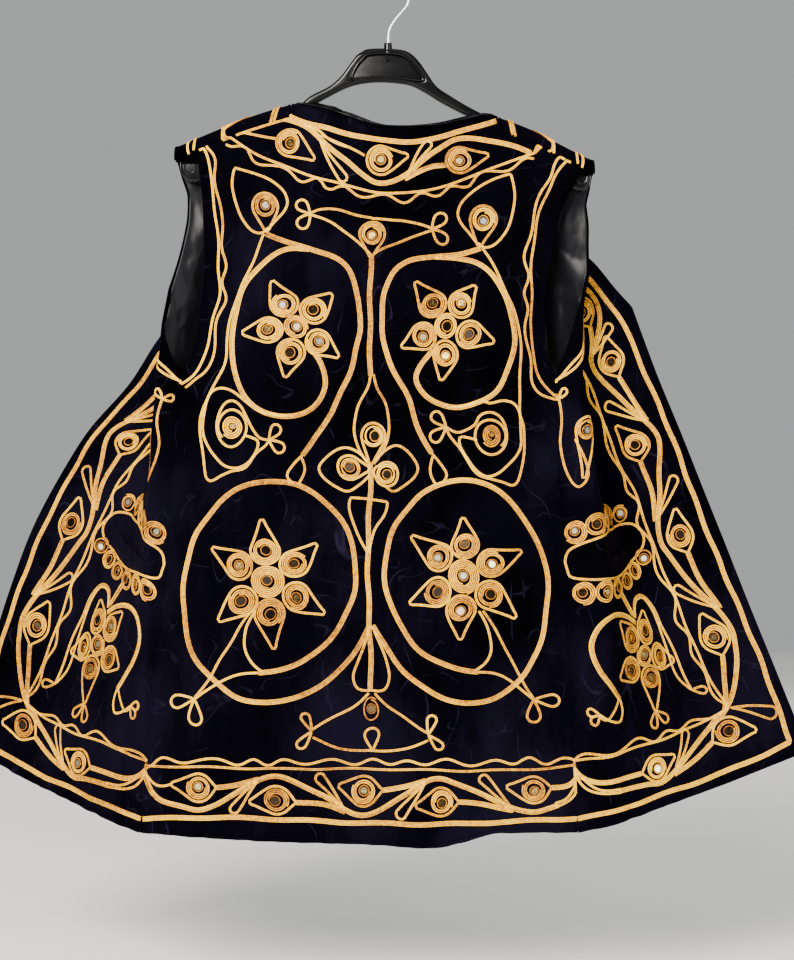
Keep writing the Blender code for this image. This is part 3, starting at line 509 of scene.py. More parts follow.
def back_grid(left_front: Array, right_front: Array) -> Array:
    """The back's points by row and column, from the hem up and from its left edge."""
    left, right = back_sides(left_front, right_front)
    left_shoulder = left_front[-1][::-1] - (0.0, 0.0, SEAM_GAP)
    right_shoulder = right_front[-1] - (0.0, 0.0, SEAM_GAP)
    left[-1] = left_shoulder[0]
    right[-1] = right_shoulder[-1]
    shoulder_shares = np.linspace(0.0, 1.0, FINE.shoulder_columns + 1)
    x_left = left[-1, 0] + shoulder_shares * (left_shoulder[-1, 0] - left[-1, 0])
    x_right = right_shoulder[0, 0] + shoulder_shares * (right[-1, 0] - right_shoulder[0, 0])
    x_neck = np.linspace(x_left[-1], x_right[0], FINE.neck_columns + 1)[1:-1]
    top_x = np.concatenate((x_left, x_neck, x_right))
    top_z = np.concatenate((
        np.interp(x_left, left_shoulder[:, 0], left_shoulder[:, 2]),
        eased(NECKLINE[:, 0], NECKLINE[:, 1], x_neck),
        np.interp(x_right, right_shoulder[:, 0], right_shoulder[:, 2]),
    ))
    u = (top_x - top_x[0]) / (top_x[-1] - top_x[0])
    hem_x = left[0, 0] + u * (right[0, 0] - left[0, 0])
    hem = np.stack((hem_x, eased(HEM[:, 0], HEM[:, 1], hem_x)), axis=1)
    top = np.stack((top_x, top_z), axis=1)
    rows = []
    for side_l, side_r in zip(left[:, ::2], right[:, ::2]):
        v_l = (side_l[1] - left[0, 2]) / (left[-1, 2] - left[0, 2])
        v_r = (side_r[1] - right[0, 2]) / (right[-1, 2] - right[0, 2])
        v = (v_l + u * (v_r - v_l))[:, None]
        across = side_l + u[:, None] * (side_r - side_l)
        along = hem * (1 - v) + top * v
        hem_line = hem[0] + u[:, None] * (hem[-1] - hem[0])
        top_line = top[0] + u[:, None] * (top[-1] - top[0])
        rows.append(across + along - hem_line * (1 - v) - top_line * v)
    flat = np.array(rows)
    return np.stack((flat[..., 0], back_depth(flat[..., 0], flat[..., 1]), flat[..., 1]), axis=-1)


def seen_places(points: Array) -> Array:
    """The back's chart: where points stand on the plane y = 0, seen from the eye, in millimetres."""
    reach = -EYE[1] / (points[..., 1:2] - EYE[1])
    seen = EYE + (points - EYE) * reach
    x = (seen[..., 0] - CHART_CORNER[0]) / MM
    y = (CHART_CORNER[1] - seen[..., 2]) / MM
    return np.stack((x, y), axis=-1)


def crease_heights(creases: Sequence[Crease], chart: Array) -> Array:
    """How high the cloth stands at each place of a chart, in millimetres, for a set of creases."""
    total = np.zeros(chart.shape[:-1])
    for crease in creases:
        path = curve_through(crease.path, CREASE_STEP)
        run = np.linspace(0.0, 1.0, len(path))
        nearest = np.full(total.shape, np.inf)
        along = np.zeros(total.shape)
        for place, share in zip(path, run):
            gap = np.linalg.norm(chart - place, axis=-1)
            along = np.where(gap < nearest, share, along)
            nearest = np.minimum(gap, nearest)
        taper = np.sin(math.pi * np.clip(along, *CREASE_ENDS)) ** CREASE_TAPER
        total += crease.height * taper * np.exp(-((nearest / crease.width) ** 2))
    for length, heading, height, start in ROLLS:
        way = math.radians(heading)
        run = chart[..., 0] * math.cos(way) + chart[..., 1] * math.sin(way)
        total += height * np.sin(2 * math.pi * run / length + start)
    return total


class Panel:
    """The outer face of one cloth wall: its points in the room over its flat chart."""

    def __init__(self, points: Array, chart: Array) -> None:
        self.points = points
        self.chart = chart
        self._index()

    def _index(self) -> None:
        """Works out the outward directions and the chart's search tree."""
        rows, columns = self.points.shape[:2]
        across = np.gradient(self.points, axis=1)
        upward = np.gradient(self.points, axis=0)
        self.normals = unit(np.cross(across, upward))
        number = np.arange(rows * columns).reshape(rows, columns)
        a, b, c, d = number[:-1, :-1], number[:-1, 1:], number[1:, 1:], number[1:, :-1]
        halves = [np.stack(corners, axis=-1).reshape(-1, 3) for corners in ((a, b, c), (a, c, d))]
        self.faces = np.concatenate(halves)
        self.flat = np.concatenate((self.chart, np.zeros((rows, columns, 1))), axis=-1).reshape(-1, 3)
        self.tree = BVHTree.FromPolygons(self.flat.tolist(), self.faces.tolist())

    def raised(self, heights: Array) -> "Panel":
        """The panel with its points moved out by these heights, in millimetres."""
        return Panel(self.points + self.normals * heights[..., None] * MM, self.chart)

    def lay(self, places: Array) -> tuple[Array, Array]:
        """Lays places of the chart on the cloth.

        Args:
            places: Places on the chart, in millimetres; one past an edge goes to the edge.

        Returns:
            The point in the room and the outward direction at each place.
        """
        found = [self.tree.find_nearest((x, y, 0.0)) for x, y in places]
        face = self.faces[[hit[2] for hit in found]]
        spot = np.array([tuple(hit[0]) for hit in found])
        a, b, c = (self.flat[face[:, k]] for k in range(3))
        whole = np.cross(b - a, c - a)[:, 2]
        near_b = np.cross(spot - a, c - a)[:, 2] / whole
        near_c = np.cross(b - a, spot - a)[:, 2] / whole
        share = np.stack((1 - near_b - near_c, near_b, near_c), axis=1)[..., None]
        point = (self.points.reshape(-1, 3)[face] * share).sum(axis=1)
        normal = (self.normals.reshape(-1, 3)[face] * share).sum(axis=1)
        return point, unit(normal)


def hung_panel(points: Array, chart: Array, creases: Sequence[Crease], seams: Sequence[int]) -> Panel:
    """A panel with its creases and rolls, level at the columns that are seams.

    Args:
        points: The smooth form, by row and column.
        chart: The flat place of each point, in millimetres.
        creases: The given folds.
        seams: Columns, 0 or -1, that are sewn to another panel.

    Returns:
        The creased panel.
    """
    heights = crease_heights(creases, chart)
    for column in seams:
        gap = np.linalg.norm(chart - chart[:, column:column + 1 or None], axis=-1)
        heights *= smoothstep(0.0, SEAM_FADE, gap)
    hem = np.linalg.norm(chart - chart[:1], axis=-1)
    heights += waves(chart[..., 0], PUCKERS) * np.exp(-((hem / PUCKER_REACH) ** 2))
    from_top = np.abs(np.arange(len(points))[:, None] - (len(points) - 1))
    heights *= smoothstep(*TOP_FADE_ROWS, from_top + np.zeros(heights.shape))
    return Panel(points, chart).raised(heights)


# ---------- cord
@dataclass(frozen=True)
class Thread:
    """A sort of cord, braid or roll that lies on the cloth; sizes in millimetres.

    Attributes:
        section: Its section from edge to edge over the top: places across, and heights off the cloth.
        spacing: From one strand of a bundle to the next.
        step: From one ring of its mesh to the next.
        plaits: How many plaits lie side by side in it.
    """

    section: tuple[Pair, ...]
    spacing: float
    step: float
    plaits: int = 1


def rounded(half_width: float, height: float, sides: int, foot: float = 0.0) -> tuple[Pair, ...]:
    """A plain oval section that stands on the cloth."""
    return tuple((-half_width * math.cos(a), foot + height / 2 * (1 + math.sin(a)))
                 for a in np.linspace(-0.5 * math.pi, 1.5 * math.pi, sides + 1)[:-1])


# A flat braid of two plaits with a groove between them.
BRAID = Thread(
    section=((-0.82, -0.25), (-1.36, 0.22), (-1.22, 0.84), (-0.70, 1.20), (-0.26, 0.98), (0.0, 0.64),
             (0.26, 0.98), (0.70, 1.20), (1.22, 0.84), (1.36, 0.22), (0.82, -0.25)),
    spacing=2.60,
    step=2.8,
    plaits=2,
)
PLY = Thread(section=rounded(1.12, 1.8, 6), spacing=1.98, step=2.5)
BEZEL = Thread(section=rounded(0.62, 1.3, 5, 0.5), spacing=1.2, step=2.2)
ROLL = Thread(section=rounded(1.9, 2.6, 7, -1.9), spacing=3.0, step=5.0)
SEAM = Thread(section=rounded(1.5, 1.6, 6, -1.3), spacing=3.0, step=6.0)
PLAIT = 2.4
LIFT_SPREAD = 0.15
BEZEL_LIFT = 0.3
SEAM_FINENESS = 3
END_TAPER = (0.0, 0.92)
END_CAP = 0.5
CURVE_SAMPLES = 12
# A hand's drift off the chalk lines: how far, over what length, and its waves along x, then along y.
DRIFT_REACH = 1.1
DRIFT_LENGTH = 95.0
DRIFT_WAVES = (
    # turns along x, turns along y, start, height
    ((0.83, 0.41, 0.13, 1.0), (-0.9, 1.7, 0.0, 0.6)),
    ((0.37, -0.77, 0.47, 1.0), (1.3, 1.1, 0.0, 0.6)),
)
# Painted shade: coils are darker low on the vest: by how much, below which height, over what drop.
COIL_SHADE = (0.42, -0.42, 0.15)


@dataclass(frozen=True)
class Run:
    """Cord laid on a chart: one or more strands side by side.

    Attributes:
        strands: How many lie beside each other.
        places: The places it passes, in millimetres; one given twice is a corner.
        closed: Whether it goes back into its start.
    """

    strands: int
    places: tuple[Pair, ...]
    closed: bool = False


@dataclass(frozen=True)
class Mirror:
    """A small round mirror sewn on a chart, sizes in millimetres."""

    place: Pair
    radius: float


def hermite(places: Array, closed: bool) -> Array:
    """Points on a smooth curve through places that are unevenly far apart."""
    if len(places) < 3 and not closed:
        return even_points(places, CURVE_SAMPLES)
    if closed:
        places = np.vstack((places[-3:], places, places[:3]))
    step = np.sqrt(np.maximum(gaps(places), 1e-6))[:, None]
    slope = np.diff(places, axis=0) / step
    inner = (slope[:-1] * step[1:] + slope[1:] * step[:-1]) / (step[1:] + step[:-1])
    tangent = np.vstack((1.5 * slope[:1] - 0.5 * inner[:1], inner, 1.5 * slope[-1:] - 0.5 * inner[-1:]))
    t = np.linspace(0.0, 1.0, CURVE_SAMPLES + 1)[:-1, None, None]
    curve = (places[:-1] * (1 + 2 * t) * (1 - t) ** 2 + tangent[:-1] * step * t * (1 - t) ** 2
             + places[1:] * t**2 * (3 - 2 * t) - tangent[1:] * step * t**2 * (1 - t))
    curve = curve.transpose(1, 0, 2)
    if closed:
        return np.vstack((curve[3:-2].reshape(-1, 2)[:1 - len(t)], places[3:4]))
    return np.vstack((curve.reshape(-1, 2), places[-1:]))


def curve_through(places: Sequence[Pair] | Array, step: float, closed: bool = False) -> Array:
    """An even polyline on a smooth curve through the places; a place given twice is a corner."""
    places = np.asarray(places, dtype=float)
    corners = np.flatnonzero(gaps(places) < 1e-6)
    if closed and len(corners):
        turn = corners[0] + 1
        places = np.vstack((places[turn:], places[:turn]))
        corners = np.flatnonzero(gaps(places) < 1e-6)
        closed = False
    cuts = [0, *(corners + 1), len(places)]
    pieces = [hermite(places[a:b], closed) for a, b in zip(cuts[:-1], cuts[1:]) if b - a > 1]
    path = np.vstack(pieces)
    length = gaps(path).sum()
    return even_points(path, max(int(round(length / step)) + 1, 5))


def drifted(places: Array) -> Array:
    """Places moved by the slow drift of a hand that follows chalk lines."""
    x, y = places[:, 0] / DRIFT_LENGTH, places[:, 1] / DRIFT_LENGTH
    moved = [sum(height * np.sin(2 * math.pi * (along_x * x + along_y * y + start))
                 for along_x, along_y, start, height in table) for table in DRIFT_WAVES]
    return places + DRIFT_REACH * np.stack(moved, axis=1)


class CordMesh:
    """Collects laid strands of one thread and builds them as one mesh."""

    def __init__(self, panel: Panel, thread: Thread, lift: float = 0.0) -> None:
        self.panel = panel
        self.thread = thread
        self.lift = lift
        self.rings: list[Array] = []
        self.facts: list[Array] = []
        self.chance = random.Random(SEED)

    def lay(self, run: Run) -> None:
        """Lays every strand of a run on the panel."""
        middle = drifted(curve_through(run.places, self.thread.step, run.closed))
        whole = run.closed and np.linalg.norm(middle[0] - middle[-1]) < 1e-3
        ahead = np.gradient(middle, axis=0)
        if whole:
            ahead[0] = ahead[-1] = middle[1] - middle[-2]
        aside = unit(left_of(ahead))
        for strand in range(run.strands):
            offset = (strand - (run.strands - 1) / 2) * self.thread.spacing
            self.strand(middle + aside * offset, whole)

    def strand(self, path: Array, whole: bool) -> None:
        """Adds one strand along a path of the chart."""
        if not whole:
            path = np.vstack((path[0] + END_CAP * unit(path[0] - path[1]), path,
                              path[-1] + END_CAP * unit(path[-1] - path[-2])))
        point, normal = self.panel.lay(path)
        ahead = np.gradient(point, axis=0)
        if whole:
            point[-1] = point[0]
            ahead[0] = ahead[-1] = point[1] - point[-2]
        side = unit(np.cross(unit(ahead), normal))
        count = len(point)
        girth = np.ones(count)
        if not whole:
            girth[:len(END_TAPER)] = END_TAPER[:count]
            girth[-len(END_TAPER):] = END_TAPER[::-1][:count]
        section = np.array(self.thread.section + self.thread.section[:1]) * MM
        rest = (self.lift + LIFT_SPREAD * self.chance.random()) * MM
        across = (girth[:, None] * section[:, 0])[..., None] * side[:, None]
        above = (girth[:, None] * section[:, 1] + rest)[..., None] * normal[:, None]
        self.rings.append(point[:, None] + across + above)
        length = run_along(point) / MM
        facts = np.empty((count, len(section), 3))
        facts[..., 0] = length[:, None]
        aside = np.abs(section[:, 0]) / np.abs(section[:, 0]).max()
        facts[..., 1] = aside if self.thread.plaits == 2 else 0.5 + 0.5 * aside
        facts[..., 2] = self.chance.random()
        # Painted shade: a coil's tint is lowered below a height on the vest.
        if self.thread.plaits == 1:
            low = np.clip((COIL_SHADE[1] - point[:, 2]) / COIL_SHADE[2], 0.0, 1.0)
            facts[..., 2] -= COIL_SHADE[0] * low[:, None]
        self.facts.append(facts)

    def build(self, name: str, material: Material) -> Object:
        """Makes the mesh.

        Args:
            name: The piece's name.
            material: Its material.

        Returns:
            The piece, with an attribute "cord" that holds its length in millimetres, how far the place
            is from its groove, 0, to its edge, 1, and its tint, which on low coils holds painted shade.
        """
        rings = np.concatenate(self.rings)
        columns = len(self.thread.section) + 1
        mesh = grid_mesh(name, rings)
        layer = mesh.attributes.new("cord", "FLOAT_VECTOR", "POINT")
        layer.data.foreach_set("vector", np.concatenate(self.facts).astype(np.float32).ravel())
        work = bmesh.new()
        work.from_mesh(mesh)
        work.faces.ensure_lookup_table()
        ends = np.cumsum([len(ring) for ring in self.rings])[:-1] - 1
        bridges = [work.faces[row * (columns - 1) + k] for row in ends for k in range(columns - 1)]
        bmesh.ops.delete(work, geom=bridges, context="FACES_ONLY")
        bmesh.ops.remove_doubles(work, verts=work.verts, dist=2e-6)
        bmesh.ops.recalc_face_normals(work, faces=work.faces)
        work.to_mesh(mesh)
        work.free()
        mesh.shade_smooth()
        return finished(name, mesh, material)


Made = TypeVar("Made")


def set_up(made: Made, **settings: object) -> Made:
    """What was made, with its settings."""
    for name, value in settings.items():
        setattr(made, name, value)
    return made


def in_scene(name: str, data: ID, **settings: object) -> Object:
    """A new object with this data and its settings, linked to the scene."""
    made = set_up(bpy.data.objects.new(name, data), **settings)
    bpy.context.scene.collection.objects.link(made)
    return made


def mesh_of(name: str, work: bmesh.types.BMesh) -> Mesh:
    """The mesh that was worked on, which is then freed."""
    mesh = bpy.data.meshes.new(name)
    work.to_mesh(mesh)
    work.free()
    return mesh


def grid_mesh(name: str, points: Array) -> Mesh:
    """A sheet of quads through rows and columns of points."""
    rows, columns = points.shape[:2]
    work = bmesh.new()
    bmesh.ops.create_grid(work, x_segments=columns - 1, y_segments=rows - 1, size=1.0)
    mesh = mesh_of(name, work)
    mesh.vertices.foreach_set("co", points.astype(np.float32).ravel())
    mesh.update()
    return mesh


def finished(name: str, mesh: Mesh, material: Material) -> Object:
    """A piece of the vest with this mesh and material, in the scene and riding on its body."""
    mesh.materials.clear()
    mesh.materials.append(material)
    piece = in_scene(name, mesh)
    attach(piece, "root")
    LOG.info("%s: %d faces", name, len(mesh.polygons))
    return piece


def cloth_piece(name: str, panel: Panel, wall: float, material: Material) -> Object:
    """A cloth wall whose outer face is a panel.

    Args:
        name: The piece's name.
        panel: Its outer face.
        wall: Its thickness in metres.
        material: Its material, which may read the UV map "cut" in metres.

    Returns:
        The piece.
    """
    mesh = grid_mesh(name, panel.points)
    layer = mesh.uv_layers.new(name="cut")
    corner = np.empty(len(mesh.loops), dtype=np.int32)
    mesh.loops.foreach_get("vertex_index", corner)
    cut = panel.chart.reshape(-1, 2)[corner] * MM
    layer.data.foreach_set("uv", cut.astype(np.float32).ravel())
    mesh.shade_smooth()
    piece = finished(name, mesh, material)
    set_up(piece.modifiers.new("wall", "SOLIDIFY"), thickness=wall, offset=-1.0)
    return piece


# ---------- motifs
MIRROR_RADIUS = 4.6
BEZEL_RADIUS = 5.0
MIRROR_SHIFT = 1.1
COIL_START = 6.9
BRAID_HALF = 1.3
BLUNT = 1.7
BLUNT_RUN = 5.0
EYE_TIP = 26.0
# The scroll of a border, in millimetres along its middle and across it.
VINE_START = 52.0
VINE_RISE = 38.0
VINE_OPENING = 42.0
KNOT_SHARE = 0.78
LAST_GAP = 80.0
TIE_RUN = 18.5
SCROLL_COIL = 12.8
SCROLL_OUTLINE = 14.2


def heading_to(centre: Pair, end: Pair) -> float:
    """The heading from one place to another, in radians."""
    return math.atan2(end[1] - centre[1], end[0] - centre[0])


def opening_to(centre: Pair, radius: float, end: Pair) -> float:
    """How far the lines from an end that touch a circle turn away from its middle, in radians."""
    return math.acos(min(radius / math.dist(centre, end), 1.0))


def circle(centre: Pair, radius: float, start: float, end: float, count: int) -> list[Pair]:
    """Places on a circle from one angle to another."""
    return [(centre[0] + radius * math.cos(a), centre[1] + radius * math.sin(a))
            for a in np.linspace(start, end, count)]


@dataclass(frozen=True)
class Flower:
    """A flower of a border's scroll.

    Attributes:
        along: Its distance along the border's middle.
        offset: How far it lies to the left of the middle.
        side: The side, 1 or -1, on which the vine passes it.
        lean: How far its tip leans away from the vine, in degrees.
        leaf: Where the leaf after it ends, as a share of the way to the next flower; 0 for no leaf.
    """

    along: float
    offset: float
    side: int
    lean: float = 9.0
    leaf: float = 0.44


class Pattern:
    """Cord, bezels and mirrors drawn on one panel's chart."""

    def __init__(self) -> None:
        self.braids: list[Run] = []
        self.plies: list[Run] = []
        self.bezels: list[Run] = []
        self.mirrors: list[Mirror] = []

    def cord(self, strands: int, *places: Pair, closed: bool = False) -> None:
        """Adds a run of braid."""
        self.braids.append(Run(strands, places, closed))

    def cords(self, table: Sequence[tuple[int, Sequence[Pair]]]) -> None:
        """Adds a table of runs of braid: how many strands, and the places."""
        for strands, places in table:
            self.cord(strands, *places)

    def loop(self, foot: Pair, tip: Pair, width: float, strands: int = 1) -> None:
        """Adds a loop that leaves one place, goes round a tip and comes back."""
        along = np.array(tip) - foot
        length = np.linalg.norm(along)
        ahead = along / length
        aside = np.array((-ahead[1], ahead[0]))
        radius = width / 2
        turn = np.linspace(-0.62 * math.pi, 0.62 * math.pi, 7)
        middle = np.array(foot) + ahead * (length - radius)
        arc = [tuple((middle + radius * (math.cos(a) * ahead + math.sin(a) * aside)).tolist()) for a in turn]
        self.cord(strands, foot, foot, *arc, closed=True)

    def bow(self, knot: Pair, heading: float, length: float = 17.0, spread: float = 38.0,
            width: float = 11.0) -> None:
        """Adds two small loops that leave a knot on both sides of a heading, in degrees."""
        for way in (-1, 1):
            angle = math.radians(heading + way * spread)
            tip = (knot[0] + length * math.cos(angle), knot[1] + length * math.sin(angle))
            self.loop(knot, tip, width)

    def drop(self, strands: int, centre: Pair, radius: float, tip: Pair) -> None:
        """Adds a round outline that runs out to a blunt point."""
        heading, opening = heading_to(centre, tip), opening_to(centre, radius, tip)
        arc = circle(centre, radius, heading + opening, heading + 2 * math.pi - opening, 11)
        self.cord(strands, *self.blunt(arc[-1], tip, arc[0]), *arc, closed=True)

    @staticmethod
    def blunt(before: Pair, tip: Pair, after: Pair) -> list[Pair]:
        """Places of a small round turn at a tip, between the runs up to it and away from it."""
        before, tip, after = np.array(before), np.array(tip), np.array(after)
        spread = BLUNT * unit(after - before)
        near = [tip + BLUNT_RUN * unit(end - tip) + way * spread
                for end, way in ((before, -0.7), (after, 0.7))]
        turn = [near[0], tip - spread, tip + spread, near[1]]
        return [tuple(place.tolist()) for place in turn]

    def medallion(self, centre: Pair, radius: float, start: float = 0.0,
                  mirror: float = MIRROR_RADIUS, stretch: Pair = (1.0, 1.0)) -> None:
        """Adds cord coiled out to a radius, round a mirror in its bezel.

        Args:
            centre: The middle of the medallion.
            radius: The outer radius of its coil.
            start: The heading at which the coil starts, in degrees.
            mirror: The mirror's radius; 0 coils a plain button.
            stretch: How far the coil is drawn out along each axis.
        """
        scale = mirror / MIRROR_RADIUS
        if mirror > 0:
            aside = 7.3 * (centre[0] + 2 * centre[1])
            seat = (centre[0] + MIRROR_SHIFT * math.cos(aside), centre[1] + MIRROR_SHIFT * math.sin(aside))
            self.mirrors.append(Mirror(seat, mirror))
            rim = circle(seat, BEZEL_RADIUS * scale, 0.0, 2 * math.pi, 13)[:-1]
            self.bezels.append(Run(1, tuple(rim), True))
        first, last = max(COIL_START * scale, 1.0), radius - PLY.spacing / 2
        turns = max((last - first) / PLY.spacing, 1.0) + 0.1
        share = np.linspace(0.0, 1.0, int(turns * 10) + 1)
        angle = math.radians(start) + 2 * math.pi * turns * share
        reach = first + (last - first) * share
        coil = centre + np.stack((reach * np.cos(angle), reach * np.sin(angle)), axis=1) * stretch
        self.plies.append(Run(1, tuple(map(tuple, coil.tolist()))))

    def leaf(self, centre: Pair, radius: float, tip: Pair) -> None:
        """Adds a medallion inside a pointed outline."""
        self.medallion(centre, radius, math.degrees(heading_to(centre, tip)) + 180)
        self.drop(1, centre, radius + BRAID_HALF - 0.3, tip)

    def star(self, centre: Pair, petals: int, heading: float, tip: float,
             distance: float, radius: float, mirror: float = MIRROR_RADIUS,
             stem: Optional[Pair] = None) -> None:
        """Adds a star flower: a middle medallion and one to a petal, each petal in a pointed outline.

        Args:
            centre: The middle of the star.
            petals: How many petals it has.
            heading: The way of the first petal, in degrees.
            tip: How far the points lie from the middle.
            distance: How far the petals' medallions lie from the middle.
            radius: The radius of their coils.
            mirror: The radius of their mirrors.
            stem: Where the first petal's outline runs down to, if it ends in a stem.
        """
        self.medallion(centre, distance - radius - 0.8, heading, mirror)
        for k in range(petals):
            wobble = math.sin(2.4 * k + 0.1 * heading)
            angle = math.radians(heading + 360 * k / petals + 3.0 * wobble)
            way = np.array((math.cos(angle), math.sin(angle)))
            place = tuple((centre + (distance + 0.5 * wobble) * way).tolist())
            self.medallion(place, radius, heading + 160 * k, mirror)
            lean = math.radians(6.0 * math.sin(1.7 * k + heading))
            turned = np.array((way[0] * math.cos(lean) - way[1] * math.sin(lean),
                               way[0] * math.sin(lean) + way[1] * math.cos(lean)))
            end = np.array(place) + (tip - distance) * (1 + 0.07 * wobble) * turned
            if stem is not None and k == 0:
                end = np.array(stem)
            self.drop(1, place, radius + BRAID_HALF - 0.6, tuple(end.tolist()))

    def wavy(self, strands: int, places: Sequence[Pair], length: float, height: float,
             start: float = 0.0, shift: Pair = (0.0, 0.0)) -> None:
        """Adds a line that waves about a path, its waves unequal as a hand lays them."""
        path = curve_through(np.array(places, dtype=float) + shift, 3.0)
        ahead = unit(np.gradient(path, axis=0))
        aside = left_of(ahead)
        run = run_along(path)
        turn = 2 * math.pi * run / length + start
        wave = height * np.sin(turn + 0.9 * np.sin(0.31 * turn)) * (1 + 0.3 * np.sin(0.43 * turn))
        waved = path + aside * wave[:, None]
        self.cord(strands, *map(tuple, waved[::2].tolist()), tuple(waved[-1].tolist()))

    def band(self, middle: Sequence[Pair], flowers: Sequence[Flower], reach: float = 18.0) -> None:
        """Adds a scroll in a border: a vine that passes the flowers on either side, and its leaves.

        Args:
            middle: The middle of the border.
            flowers: The flowers, in order.
            reach: How far from the middle the vine swings.
        """
        path = curve_through(middle, 2.0)
        run = run_along(path)
        ahead = unit(np.gradient(path, axis=0))
        aside = left_of(ahead)

        def place(along: float, offset: float) -> Pair:
            spot = [np.interp(along, run, (path + aside * offset)[:, axis]) for axis in range(2)]
            return float(spot[0]), float(spot[1])

        first = flowers[0]
        start = max(first.along - VINE_START, 0.0)
        vine = [place(start, -first.side * (reach + 4)), place(first.along - VINE_RISE, first.side * 6)]
        for number, flower in enumerate(flowers):
            along, side = flower.along, flower.side
            gap = flowers[number + 1].along - along if number + 1 < len(flowers) else LAST_GAP
            knot = along + KNOT_SHARE * gap
            vine += [place(along - 12, side * (reach - 2)), place(along + 1, side * reach),
                     place(along + 15, side * (reach - 4))]
            vine.append(place(along + 0.5 * gap, 0.0))
            centre = place(along, flower.offset)
            tie = place(along + TIE_RUN, flower.offset - side)
            lean = math.radians(flower.lean)
            tip = place(along - EYE_TIP * math.cos(lean), flower.offset - side * EYE_TIP * math.sin(lean))
            self.medallion(centre, SCROLL_COIL, 180.0 * number)
            self.eye(centre, SCROLL_OUTLINE, tip, tie)
            if number + 1 == len(flowers):
                self.cord(2, tie, place(run[-1] - 12, -side * 9), place(run[-1], -side * (reach + 6)))
                continue
            self.cord(2, tie, place(0.5 * (along + 20 + knot), -side * 9), place(knot, -side * (reach - 3)))
            if flower.leaf > 0:
                foot = place(knot, -side * (reach - 4))
                self.loop(foot, place(along + flower.leaf * gap, side * (reach + 3)), 10.0)
        # The vine opens into two strands that run up to a tie.
        last = flowers[-1]
        opening = max(last.along + 24, run[-1] - VINE_OPENING)
        vine[-1] = place(opening, last.side * (reach - 7))
        self.cord(2, *vine)
        rest = run[-1] - opening
        for share, low, apart in ((0.45, 3.0, -2.0), (0.72, 1.0, 2.0)):
            self.cord(1, place(opening - 3, last.side * (reach - 7 + apart)),
                      place(opening + share * rest, last.side * low), place(run[-1], -last.side * (reach + 5)))
        self.cord(1, place(start, -first.side * (reach + 3)), place(first.along - VINE_RISE, -first.side * 7),
                  place(first.along - EYE_TIP, first.offset - first.side * 4))

    def eye(self, centre: Pair, radius: float, tip: Pair, tie: Pair) -> None:
        """Adds a round outline that runs out to a tip on one side and to a tie on the other."""
        to_tip, open_tip = heading_to(centre, tip), opening_to(centre, radius, tip)
        open_tie = opening_to(centre, radius, tie)
        turn = (heading_to(centre, tie) - to_tip) % (2 * math.pi)
        one = circle(centre, radius, to_tip + open_tip, to_tip + turn - open_tie, 7)
        other = circle(centre, radius, to_tip + turn + open_tie, to_tip + 2 * math.pi - open_tip, 7)
        self.cord(1, tie, tie, *other, *self.blunt(other[-1], tip, one[0]), *one, closed=True)


# ---------- pattern of the back, x to the right, y down
AXIS = 371.5
# The other half is the reflection of the first: at each height, how wide it is and how much lower.
REFLECTION = np.array([
    # y, wide, lower
    (150, 1.00, 2.0),
    (185, 1.03, 12.0),
    (232, 1.03, 14.0),
    (262, 1.02, 2.0),
    (330, 1.03, -1.0),
    (410, 0.98, -9.0),
    (440, 0.88, -3.0),
    (480, 0.90, -2.0),
    (560, 0.93, 0.0),
])
BACK_HALF = (
    # strands, places
    (1, ((266, 232), (277, 219), (285, 210), (288, 202), (285, 192), (273, 182), (252, 172), (236, 167),
         (236, 167), (232, 187), (237, 210), (243, 222), (252, 231), (262, 233), (268, 228))),
    (2, ((266, 234), (287, 243), (312, 250), (334, 259), (349, 272), (357, 291), (360, 314), (361, 332),
         (356, 354), (349, 378), (335, 406), (319, 433), (303, 455))),
    (1, ((303, 455), (294, 466), (289, 477), (296, 486))),
    (1, ((302, 458), (306, 472), (300, 486))),
    (2, ((310, 250), (290, 250), (272, 257), (256, 270), (245, 285), (238, 302), (234, 330), (233, 358),
         (239, 382), (248, 399), (262, 410), (284, 416), (305, 412), (320, 400), (327, 385), (323, 369),
         (312, 352))),
    (2, ((370, 626), (359, 645), (344, 665), (321, 684), (295, 698), (264, 704), (237, 699), (213, 681),
         (196, 658), (186, 630), (182, 598), (186, 562), (199, 529), (218, 503), (238, 488), (262, 482),
         (290, 484), (314, 494), (334, 513), (347, 532), (354, 550), (357, 570), (355, 592), (345, 620),
         (326, 645), (303, 661), (281, 669), (258, 672))),
    (1, ((258, 672), (241, 674), (224, 681), (208, 691), (195, 701))),
    (1, ((252, 611), (238, 630), (225, 653), (211, 678), (196, 699))),
    (1, ((256, 611), (246, 630), (244, 648), (251, 662), (262, 671))),
    (1, ((372, 218), (355, 214), (338, 209), (322, 210), (311, 215))),
    (1, ((371, 256), (362, 248), (345, 233), (331, 222), (312, 216))),
    (1, ((370, 375), (367, 390), (357, 410), (353, 430), (358, 447), (367, 461))),
    (1, ((370, 628), (364, 644), (357, 662), (353, 678), (357, 688), (372, 689))),
    (1, ((374, 752), (356, 752), (334, 748), (312, 739))),
    (1, ((368, 692), (352, 706), (336, 716), (312, 731))),
    (1, ((369, 463), (358, 451), (345, 447), (332, 453), (319, 468), (322, 477), (335, 487), (347, 492),
         (357, 486), (369, 475))),
)
BACK_HALF_BOWS = (
    # knot, heading, length, spread, width
    ((196, 700), 133.0, 24.0, 42.0, 13.0),
    ((312, 215), 180.0, 19.0, 48.0, 12.0),
    ((311, 733), 190.0, 20.0, 62.0, 9.0),
)
YOKE_EDGE = ((229, 136), (270, 160), (313, 175), (356, 187), (387, 193), (420, 192), (457, 183), (495, 167),
             (534, 152))
